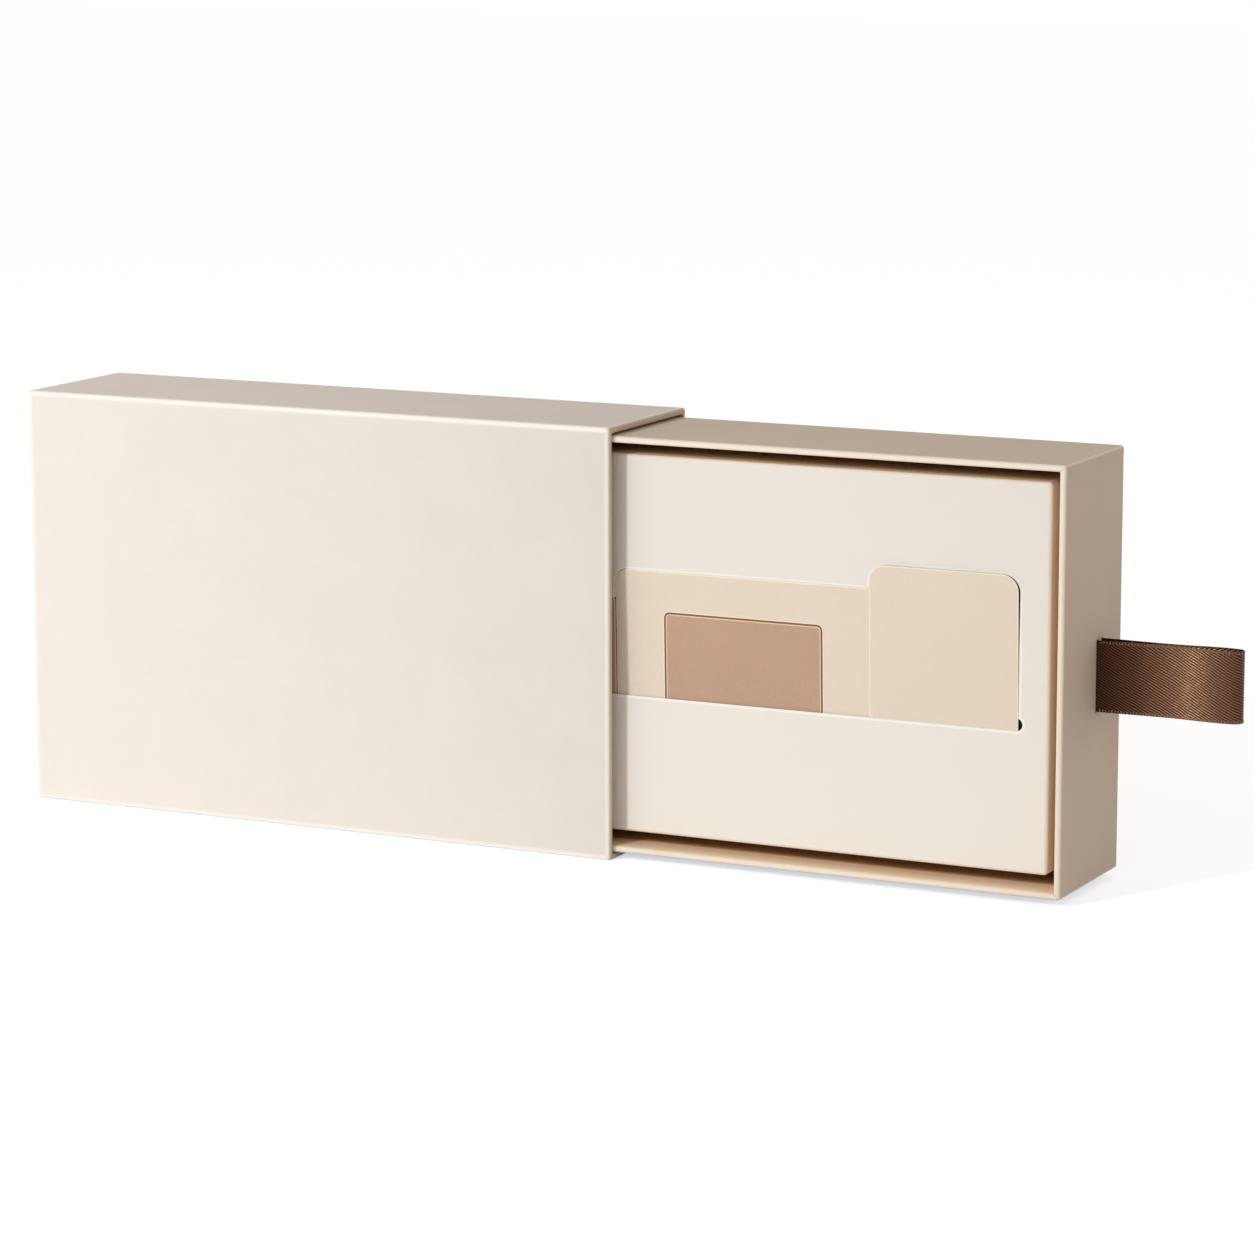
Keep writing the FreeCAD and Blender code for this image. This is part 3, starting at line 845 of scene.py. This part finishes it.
class CardSpace:
    """A leaning card's own space: its lower front corner, width, height and thickness."""

    def __init__(self, node):
        low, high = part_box(node)
        c, s = math.cos(LEAN), math.sin(LEAN)
        run, rise = high.y - low.y, high.z - low.z
        self.width = high.x - low.x
        self.height = (rise * c - run * s) / (c * c - s * s)
        self.thickness = (run * c - rise * s) / (c * c - s * s)
        self.corner = Vector((low.x, low.y + self.height * s, low.z))

    def place(self, across, up, back):
        """The point so far across, up and back from that corner."""
        return self.corner + ACROSS * across + UP * up + BACK * back


def cut_card(node, radius, materials, holes=(), foot=CARD_FOOT, forward=0.0):
    """A card with round upper corners, standing for its CAD node or a little forward of it."""
    name, space = node + "_sheet", CardSpace(node)
    size = (space.width, space.height)
    corners = [foot, foot, radius, radius]
    # The band inside the outline wears the lighter stock: a painted highlight along the card's
    # edge
    outline = rounded_outlines((0, 0), size, corners, 0, -CARD_HIGHLIGHT_BORDER)
    raw = flat_sheet([outline, *holes], lambda a, b: space.place(a, b, -forward), -BACK)
    mesh = bevelled(name, raw, space.thickness, CARD_BEVEL)
    finished(name, mesh, body_of(frame["nodes"][node])[0], materials, [node])
    print(f"{name}: {space.width / MM:.1f} x {space.height / MM:.1f} mm")


# %% Cut the cards
TAN_GAP = 0.65 * MM
TAN_CORNER = 1.4 * MM
TAN_FOOT = 0.2 * MM
wide_space, tan_space = CardSpace("wide_card"), CardSpace("tan_card")
to_tan = tan_space.corner - wide_space.corner
tan_low = (to_tan.dot(ACROSS), to_tan.dot(UP))
tan_high = (tan_low[0] + tan_space.width, tan_low[1] + tan_space.height)
tan_corners = [TAN_FOOT, TAN_FOOT, TAN_CORNER, TAN_CORNER]
tan_hole = rounded_outlines(tan_low, tan_high, tan_corners, TAN_GAP, TAN_GAP + CARD_HIGHLIGHT_BORDER)
WIDE_CORNER, TALL_CORNER, LEFT_CORNER = 4.8 * MM, 5.8 * MM, 1.4 * MM
LEFT_FORWARD = 0.15 * MM
beige = (beige_card, beige_cut_and_highlight)
tan = (tan_card, tan_cut_and_highlight)
cut_card("wide_card", WIDE_CORNER, beige, [tan_hole])
cut_card("tall_card", TALL_CORNER, beige)
cut_card("left_card", LEFT_CORNER, tan, forward=LEFT_FORWARD)
cut_card("tan_card", TAN_CORNER, tan, foot=TAN_FOOT)

# %% [markdown]
# ## The platform
# One sheet of card is folded back along its four sides, like a lid without a box, and a window
# with a long slot at its lip is cut out of its face. The loops start at the fold and run back
# along the sides; the face between the fold and the window is filled in one go. The window's
# corners are the panel's points well inside its outline. It is stepped to follow the tops of the
# three cards, and tucked a little behind them where they lean in front of it. A narrow band
# round it wears a lighter material, a painted highlight along the lip and the window's edges.

# %% Draw the window
CARD_SIDE_GAP = 0.2 * MM
STEP_GAP = 0.15 * MM
WINDOW_TUCK = 0.4 * MM
# Width of the painted highlight band round the window
WINDOW_HIGHLIGHT_BORDER = 0.95 * MM
SLOT_END_RADIUS = 2.25 * MM
SLOT_BEYOND_WINDOW = 0.95 * MM
SLOT_EASE = 0.5 * MM
WINDOW_STEPS = 10
WELL_INSIDE = 5 * MM

window_points = [
    v.co
    for v in frame["nodes"]["platform_panel"].data.vertices
    if WELL_INSIDE < v.co.z - PANEL_LOW.z < PANEL_HIGH.z - PANEL_LOW.z - WELL_INSIDE
    and WELL_INSIDE < v.co.x - PANEL_LOW.x < PANEL_HIGH.x - PANEL_LOW.x - WELL_INSIDE
]
LIP_Z = min(p.z for p in window_points)
NOTCH_TOP = max(p.z for p in window_points) - WINDOW_TUCK
SLOT_LEFT = min(p.x for p in window_points) - SLOT_EASE
SLOT_RIGHT = max(p.x for p in window_points) + SLOT_EASE
WINDOW_LEFT = SLOT_LEFT + SLOT_BEYOND_WINDOW
NOTCH_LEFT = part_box("tall_card")[0].x - CARD_SIDE_GAP
WINDOW_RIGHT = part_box("tall_card")[1].x + CARD_SIDE_GAP
WINDOW_TOP = max(p.z for p in window_points if p.x < NOTCH_LEFT - WELL_INSIDE) - WINDOW_TUCK
NOTCH_RADIUS = TALL_CORNER + CARD_SIDE_GAP
WIDE_LOW, WIDE_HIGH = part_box("wide_card")
STEP_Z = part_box("left_card")[1].z - WINDOW_TUCK


def window_outline(grow):
    """The window as (x, z), stepped to the three cards' tops, with the slot's half-round ends."""
    r = SLOT_END_RADIUS
    right, left = (SLOT_RIGHT - r, LIP_Z + r), (SLOT_LEFT + r, LIP_Z + r)
    meet_right = math.degrees(math.acos((WINDOW_RIGHT + grow - right[0]) / (r + grow)))
    meet_left = math.degrees(math.acos((left[0] - WINDOW_LEFT + grow) / (r + grow)))
    n = NOTCH_RADIUS
    points = arc(right, r + grow, -90, meet_right, WINDOW_STEPS)
    points += arc((WINDOW_RIGHT - n, NOTCH_TOP - n), n + grow, 0, 90, WINDOW_STEPS)
    points += arc((NOTCH_LEFT + n, NOTCH_TOP - n), n + grow, 90, 180, WINDOW_STEPS)
    points += [(NOTCH_LEFT - grow, WINDOW_TOP + grow)]
    corner = (WIDE_LOW.x + WIDE_CORNER, WIDE_HIGH.z - WIDE_CORNER)
    around = WIDE_CORNER + STEP_GAP + grow
    start = 180 - math.degrees(math.asin((WINDOW_TOP + grow - corner[1]) / around))
    points += arc(corner, around, start, 180, WINDOW_STEPS)
    points += [(corner[0] - around, STEP_Z + grow), (WINDOW_LEFT - grow, STEP_Z + grow)]
    points += arc(left, r + grow, 180 - meet_left, 270, WINDOW_STEPS)
    return points


# %% Fold the platform
FOLD_RADIUS = 1.3 * MM
FOLD_CREASE = 0.12 * MM
WINDOW_BEVEL = 0.13 * MM
PLATFORM_AXES = (Vector((0, 0, 1)), Vector((1, 0, 0)), Vector((0, 1, 0)))


def platform_path(depth):
    """Stages from the face round the fold, pressed in at its corners, and along the sides."""
    r = FOLD_RADIUS
    flat = [(r + HAIR, 0, 0, 0), (r, 0, 0, 0)]
    folded = [(r - r * math.sin(a), r - r * math.cos(a)) for a in quarter_round(1)]
    folded += [(0, r + HAIR), (0, depth)]
    return flat + [(*stage, -FOLD_CREASE * DIAGONAL, 0) for stage in folded]


def platform_sheet():
    """The folded sheet, its face filled between the fold and the window's painted highlight band.
    """
    sheet = bmesh.new()
    low = Vector((PLATFORM_LOW.x, PANEL_LOW.y, PLATFORM_LOW.z))
    path = platform_path(PLATFORM_HIGH.y - low.y)
    loops = stacked_loops(low, PLATFORM_HIGH, PLATFORM_AXES, FOLD_RADIUS, path)
    rings = [ring_of(sheet, loop) for loop in loops]
    for i, (first, second) in enumerate(zip(rings, rings[1:])):
        # Past the fold the sides wear the third slot, tinted as painted shade
        strip_between(sheet, first, second, 0 if i < EDGE_STEPS else 2)
    edge, border = (
        ring_of(sheet, [Vector((x, PANEL_LOW.y, z)) for x, z in window_outline(grow)])
        for grow in (0.0, WINDOW_HIGHLIGHT_BORDER)
    )
    strip_between(sheet, edge, border, 1)
    fill_between(sheet, [rings[0], border])
    return finished_sheet(sheet)


finished(
    "platform_tray",
    bevelled("platform", platform_sheet(), CARD, WINDOW_BEVEL),
    "drawer",
    [platform_card, platform_cut_and_highlight, platform_side_shade],
    ["platform_panel", "platform_sides"],
)
print(f"platform: lip at {LIP_Z / MM:.1f} mm, window top {WINDOW_TOP / MM:.1f} mm")

# %% [markdown]
# ## The ribbon
# The pull is one strip of brown twill ribbon, 25 mm wide. Its tails are glued flat inside the
# end wall; between them it passes out through one slit, turns at its tip and goes back through
# the other. The two layers draw together near the wall and stand apart near the tip. It is
# lofted along that path with a thin rounded section, and its UV map holds the length and height
# along the strip in metres, so that the weave follows it.

# %% The ribbon's path and section
RIBBON_THICKNESS = 0.4 * MM
RIBBON_WIDTH = RIBBON_HIGH.z - RIBBON_LOW.z
RIBBON_MIDDLE = (RIBBON_HIGH.z + RIBBON_LOW.z) / 2
RIBBON_BOW = 0.75 * MM
BOW_LEAN = 1.75
RIBBON_TWIST = 0.3 * MM
RIBBON_PITCH = 0.6 * MM
RIBBON_CRISP_FROM = 60
FOLD_STEPS, TIP_STEPS = 6, 20
SECTION_ROWS = 24
SELVEDGE = 0.9 * MM
SELVEDGE_SWELL = 0.06 * MM


def stretch_of(start, end):
    """Points along a straight stretch, without its last one."""
    a, b = Vector(start), Vector(end)
    count = max(2, round((b - a).length / RIBBON_PITCH))
    return [tuple(a.lerp(b, i / count)) for i in range(count)]


def ribbon_path():
    """The strip's middle line in plan, from tail to tail."""
    half = RIBBON_THICKNESS / 2
    inside = INNER_X - half
    fold = SLIT_WIDTH / 2
    front, back = LAYER_Y, LAYER_Y + LAYERS_APART
    loop = LAYERS_APART / 2
    tip = RIBBON_HIGH.x - half - loop
    points = stretch_of((inside, RIBBON_LOW.y), (inside, front - fold))
    points += arc((inside + fold, front - fold), fold, 180, 90, FOLD_STEPS)[:-1]
    points += stretch_of((inside + fold, front), (tip, front))
    points += arc((tip, front + loop), loop, -90, 90, TIP_STEPS)[:-1]
    points += stretch_of((tip, back), (inside + fold, back))
    points += arc((inside + fold, back + fold), fold, 270, 180, FOLD_STEPS)[:-1]
    points += stretch_of((inside, back + fold), (inside, RIBBON_HIGH.y))
    return points + [(inside, RIBBON_HIGH.y)]


def bowed(x, y, z):
    """Where a point of the ribbon is once the loop pinches, swells and twists a little."""
    share = min(max((x - PULL_X) / (RIBBON_HIGH.x - PULL_X), 0), 1)
    bow = -RIBBON_BOW * math.sin(2 * math.pi * share**BOW_LEAN)
    side = -1 if y < LAYER_Y + LAYERS_APART / 2 else 1
    twist = RIBBON_TWIST * math.sin(math.pi * share) * (z - RIBBON_MIDDLE) / RIBBON_WIDTH
    return Vector((x, y + side * bow + twist, z))


def ribbon_section():
    """(way, height) round the strip's thin section, anticlockwise seen along the strip."""
    half = RIBBON_WIDTH / 2
    turns = [math.radians(180 * i / SECTION_ROWS - 90) for i in range(1, SECTION_ROWS)]
    rows = [half * math.sin(turn) for turn in turns]
    side = [(1, z) for z in rows]
    return [(0, -half)] + side + [(0, half)] + [(-1, z) for z in reversed(rows)]


# %% Loft the ribbon
def with_normals(path):
    """Each point of a path in plan, and the normal on the strip's outer side there."""
    pairs = []
    for i, point in enumerate(path):
        before, after = Vector(path[max(i - 1, 0)]), Vector(path[min(i + 1, len(path) - 1)])
        tangent = (after - before).normalized()
        pairs.append((Vector(point), Vector((tangent.y, -tangent.x))))
    return pairs


def ribbon_mesh():
    """The strip's mesh with its map, and the strip's length."""
    path, section = with_normals(ribbon_path()), ribbon_section()
    strip = bmesh.new()
    map_uv = strip.loops.layers.uv.new("strip")
    lengths = [0.0]
    for (here, _), (there, _) in zip(path, path[1:]):
        lengths.append(lengths[-1] + (there - here).length)
    rings = []
    for point, normal in path:
        ring = []
        for way, height in section:
            edge = RIBBON_WIDTH / 2 - abs(height)
            thick = RIBBON_THICKNESS / 2 + (SELVEDGE_SWELL if edge < SELVEDGE else 0)
            x, y = point + normal * way * thick
            ring.append(strip.verts.new(bowed(x, y, RIBBON_MIDDLE + height)))
        rings.append(ring)
    for i, (near, far) in enumerate(zip(rings, rings[1:])):
        for j, (_, height) in enumerate(section):
            k = (j + 1) % len(section)
            face = strip.faces.new((near[j], far[j], far[k], near[k]))
            heights = (height, height, section[k][1], section[k][1])
            for loop, along, height_there in zip(face.loops, (0, 1, 1, 0), heights):
                loop[map_uv].uv = (lengths[i + along], height_there)
    for ring in (rings[0], list(reversed(rings[-1]))):
        strip.faces.new(ring)
    bmesh.ops.recalc_face_normals(strip, faces=strip.faces)
    return smoothed(mesh_of(strip, "ribbon"), RIBBON_CRISP_FROM), lengths[-1]


# %% [markdown]
# ## Twill
# Twill is woven so that each weft thread passes over one warp thread further than the last,
# which draws fine slanting ribs. In the strip's own coordinates a rib is a sine wave across a
# slanted line. A little noise bends the ribs, and they stop at the selvedge, where the weft
# turns back. A lighter band of tones is painted along part of the strip, a painted sheen where
# the satin catches the lamp; by the wall and the tip the ribbon keeps its plain, darker brown.

# %% Weave the ribbon
TWILL_PITCH = 0.86 * MM
TWILL_SLANT = math.radians(27)
# Where along the strip the painted sheen is centred, and how far it reaches
PAINTED_SHEEN_AT = PULL_X + 0.63 * (RIBBON_HIGH.x - PULL_X)
PAINTED_SHEEN_REACH = 36 * MM
TWILL_WANDER = 5 * MM
TWILL_THREAD = 0.35 * MM
TWILL_RELIEF = 0.12 * MM
# The ribbon's own tones, and the lighter tones of its painted sheen
PLAIN_TWILL_TONES = (srgb(26, 11, 4), srgb(107, 65, 40))
PAINTED_SHEEN_TONES = (srgb(54, 30, 20), srgb(196, 146, 112))


def twill_finish():
    """Brown satin twill: slanting ribs, plain selvedges and a band of painted sheen."""
    finish = Finish("brown_twill", {"Specular IOR Level": 0.3, "Metallic": 0.7})
    strip = finish.node("ShaderNodeUVMap", {"uv_map": "strip"})
    along, height, _ = finish.parts(strip)
    place = finish.place()
    wander = finish.noise(place, TWILL_WANDER) - 0.5
    across = height * math.cos(TWILL_SLANT) + along * math.sin(TWILL_SLANT)
    rib = ((across + wander * TWILL_PITCH) * (2 * math.pi / TWILL_PITCH)).sine() * 0.5 + 0.5
    edge = (RIBBON_WIDTH / 2 - height.size()).near(SELVEDGE)
    thread = finish.noise(place, TWILL_THREAD)
    lift = rib * (1 - edge) + edge * 0.4
    tone = lift * 0.75 + 0.35 * (thread - 0.5)
    # Painted sheen: the tones grow lighter in a band along the strip
    painted_sheen = (finish.parts(place)[0] - PAINTED_SHEEN_AT).size().near(PAINTED_SHEEN_REACH).power(2)
    plain_tones, sheen_tones = finish.mix(tone, *PLAIN_TWILL_TONES), finish.mix(tone, *PAINTED_SHEEN_TONES)
    finish.colour(finish.mix(painted_sheen, plain_tones, sheen_tones))
    finish.rough(0.36 - 0.04 * lift)
    finish.bump(lift + 0.25 * thread, TWILL_RELIEF)
    return finish.material


brown_twill = twill_finish()
strip_mesh, strip_length = ribbon_mesh()
ribbon = finished(
    "ribbon_strip", strip_mesh, "drawer", [brown_twill], ["ribbon_pull"]
)
print(f"ribbon: {RIBBON_WIDTH / MM:.1f} x {strip_length / MM:.1f} mm")

# %% [markdown]
# ## Selvedge stitches
# Along both edges of the ribbon the weft threads turn back as small loops. Geometry Nodes are
# made for that: a line is resampled at the pitch, a bead is set on each point and turned
# to the line, and each one differs a little in size.

# %% A tree that sets beads along a line
STITCH_PITCH = 1.1 * MM
STITCH_SIZE = (0.28 * MM, 0.11 * MM, 0.45 * MM)
STITCH_UNEVEN = 0.25
STITCH_SEED = 7


def stitch_tree():
    """Beads along a line, its sizes given by the tree's named inputs."""
    group = bpy.data.node_groups.new("stitches_along_a_line", "GeometryNodeTree")
    for name, kind in (
        ("Line", "Geometry"),
        ("Pitch", "Float"),
        ("Size", "Vector"),
        ("Unevenness", "Float"),
        ("Seed", "Int"),
        ("Material", "Material"),
    ):
        group.interface.new_socket(name, in_out="INPUT", socket_type="NodeSocket" + kind)
    group.interface.new_socket("Stitches", in_out="OUTPUT", socket_type="NodeSocketGeometry")
    tree = Tree(group)

    def given(name):
        return tree.node("NodeGroupInput", output=name)

    curve = tree.node("GeometryNodeMeshToCurve", inputs={"Mesh": given("Line")})
    even = tree.node(
        "GeometryNodeResampleCurve", {"mode": "LENGTH"}, {"Curve": curve, "Length": given("Pitch")}
    )
    bead = tree.node("GeometryNodeMeshUVSphere", inputs={"Segments": 8, "Rings": 6, "Radius": 1.0})
    soft = tree.node("GeometryNodeSetShadeSmooth", inputs={"Geometry": bead})
    turned = tree.node(
        "FunctionNodeAlignRotationToVector",
        {"axis": "X", "pivot_axis": "Z"},
        {"Vector": tree.node("GeometryNodeInputTangent")},
    )
    uneven = given("Unevenness")
    chance = tree.node(
        "FunctionNodeRandomValue",
        {"data_type": "FLOAT"},
        {2: 1 - uneven, 3: 1 + uneven, "Seed": given("Seed")},
        output=1,
    )
    placed = tree.node(
        "GeometryNodeInstanceOnPoints",
        inputs={
            "Points": even,
            "Instance": soft,
            "Rotation": turned,
            "Scale": tree.shade(given("Size"), chance),
        },
    )
    real = tree.node("GeometryNodeRealizeInstances", inputs={"Geometry": placed})
    dressed = tree.node(
        "GeometryNodeSetMaterial", inputs={"Geometry": real, "Material": given("Material")}
    )
    tree.node("NodeGroupOutput", inputs={"Stitches": dressed})
    return group


# %% Stitch both edges
STITCH_FROM_EDGE = 0.62 * MM
THREAD_FIBRE = 0.2 * MM
THREAD_RELIEF = 0.03 * MM


def stitch_lines():
    """Lines along both edges on the strip's outer face, outside the wall."""
    lines = bmesh.new()
    proud = (RIBBON_THICKNESS + SELVEDGE_SWELL) / 2
    spots = [point + normal * proud for point, normal in with_normals(ribbon_path())]
    spots = [spot for spot in spots if spot.x >= PULL_X + STITCH_PITCH]
    height = RIBBON_WIDTH / 2 - STITCH_FROM_EDGE
    for z in (RIBBON_MIDDLE - height, RIBBON_MIDDLE + height):
        line = [lines.verts.new(bowed(x, y, z)) for x, y in spots]
        for pair in zip(line, line[1:]):
            lines.edges.new(pair)
    return mesh_of(lines, "stitch_lines")


def stitch_finish():
    """Brown thread with a soft sheen."""
    finish = Finish("brown_thread", {"Specular IOR Level": 0.5, "Sheen Weight": 0.3})
    fibre = finish.noise(finish.place(), THREAD_FIBRE)
    finish.colour(finish.mix(fibre, srgb(104, 70, 50), srgb(160, 120, 94)))
    finish.rough(0.4 + 0.1 * fibre)
    finish.bump(fibre, THREAD_RELIEF)
    return finish.material


def grown(name, mesh, tree, values):
    """Runs a tree on a mesh and gives the result as a plain mesh."""
    seed = added(name + "_seed", mesh)
    modifier = seed.modifiers.new("grow", "NODES")
    modifier.node_group = tree
    for item in tree.interface.items_tree:
        if item.in_out == "INPUT" and item.name in values:
            modifier[item.identifier] = values[item.name]
    result = settled(seed)
    bpy.data.objects.remove(seed)
    result.name = name
    return result


brown_thread = stitch_finish()
stitch_mesh = grown(
    "ribbon_stitches",
    stitch_lines(),
    stitch_tree(),
    {
        "Pitch": STITCH_PITCH,
        "Size": STITCH_SIZE,
        "Unevenness": STITCH_UNEVEN,
        "Seed": STITCH_SEED,
        "Material": brown_thread,
    },
)
stitches = finished("ribbon_stitches", stitch_mesh, "drawer", [brown_thread])
print("stitches:", len(stitch_mesh.polygons), "faces")

# %% [markdown]
# ## Floor, light and camera
# The box stands on a pale floor under a plain light: a sky that is lighter at the horizon than
# overhead, as in a studio with pale walls, and one soft lamp from the front left, low enough
# that fronts are brightest, tops darker and right sides darker still. Only the camera and gloss
# see the floor and the sky as white, through Light Path, so the white adds no light to the box.
# A long lens from the right, a little above, keeps the perspective mild.

# %% Floor
FLOOR_SIZE = 12.0
FLOOR_GLOW = (0.53, 0.57, 0.605)
FLOOR_TONE = srgb(249, 249, 251)


def seen_directly(tree):
    """1 for rays that come from the camera or through gloss or glass, and 0 for the rest."""
    camera, glossy, through = (
        tree.node("ShaderNodeLightPath", output=f"Is {kind} Ray")
        for kind in ("Camera", "Glossy", "Transmission")
    )
    return camera.larger(glossy).larger(through)


def floor_finish():
    """Pale paper that adds its own light only where it is looked at."""
    shader = {"Specular IOR Level": 0.0, "Roughness": 1.0, "Emission Strength": 1.0}
    finish = Finish("floor_paper", shader)
    finish.colour(FLOOR_TONE)
    glow = finish.shade(FLOOR_GLOW, seen_directly(finish))
    connect(finish.tree, glow, finish.surface.inputs["Emission Color"])
    return finish.material


floor_mesh = bpy.data.meshes.new("floor")
half = FLOOR_SIZE / 2
floor_mesh.from_pydata(
    [(-half, -half, 0), (half, -half, 0), (half, half, 0), (-half, half, 0)], [], [(0, 1, 2, 3)]
)
floor_mesh.materials.append(floor_finish())
added("floor", floor_mesh)
print("floor:", FLOOR_SIZE, "m square")

# %% Sky
HORIZON = (0.83, 0.785, 0.75, 1)
ZENITH = (0.32, 0.265, 0.21, 1)
WHITE = (1, 1, 1, 1)

world = bpy.data.worlds.new("studio")
bpy.context.scene.world = world
world.use_nodes = True
sky = Tree(world.node_tree)
upwards = sky.parts(sky.node("ShaderNodeTexCoord", output="Generated"))[2].larger(0.0)
light = sky.mix(upwards, HORIZON, ZENITH)
shown = sky.mix(seen_directly(sky), light, WHITE)
background = sky.node("ShaderNodeBackground", inputs={"Color": shown})
sky.node("ShaderNodeOutputWorld", inputs={"Surface": background})
print("sky from", HORIZON[:3], "to", ZENITH[:3])

# %% Lamp
LAMP_AIM = Vector((0.121, -0.03, 0.08))
LAMP_AZIMUTH = math.radians(-20)
LAMP_UP = math.radians(26)
LAMP_DISTANCE = 1.2
LAMP_SIZE = 0.14
LAMP_POWER = 5.6
LAMP_COLOUR = (0.93, 1.0, 1.06)


def direction(azimuth, up):
    """From the box towards an azimuth, 0 in front and growing to the right, and a height."""
    level = math.cos(up)
    return Vector((math.sin(azimuth) * level, -math.cos(azimuth) * level, math.sin(up)))


toward_lamp = direction(LAMP_AZIMUTH, LAMP_UP)
lamp_data = bpy.data.lights.new("key", "AREA")
lamp_data.shape = "DISK"
lamp_data.size = LAMP_SIZE
lamp_data.energy = LAMP_POWER
lamp_data.color = LAMP_COLOUR
lamp = added("key", lamp_data)
lamp.location = LAMP_AIM + toward_lamp * LAMP_DISTANCE
lamp.rotation_mode = "QUATERNION"
lamp.rotation_quaternion = toward_lamp.to_track_quat("Z", "Y")
print(f"lamp: {LAMP_POWER} W, {math.degrees(LAMP_UP):.0f} degrees up")

# %% Camera
CAMERA_AT = Vector((0.8224, -1.4368, 0.3668))
CAMERA_AZIMUTH = math.radians(26.296)
CAMERA_DOWN = math.radians(10.187)
CAMERA_ROLL = math.radians(-0.076)
LENS = 130.32
SENSOR = 36
CLIP_START = 0.05

camera_data = bpy.data.cameras.new("camera")
camera_data.lens = LENS
camera_data.sensor_width = SENSOR
camera_data.clip_start = CLIP_START
camera = added("camera", camera_data)
camera.location = CAMERA_AT
facing = (-direction(CAMERA_AZIMUTH, CAMERA_DOWN)).to_track_quat("-Z", "Y").to_matrix()
camera.rotation_euler = (facing @ Matrix.Rotation(CAMERA_ROLL, 3, "Z")).to_euler()
bpy.context.scene.camera = camera
bpy.context.scene.view_settings.view_transform = "Standard"
print(f"camera: {LENS} mm lens, {math.degrees(CAMERA_AZIMUTH):.1f} degrees to the right")
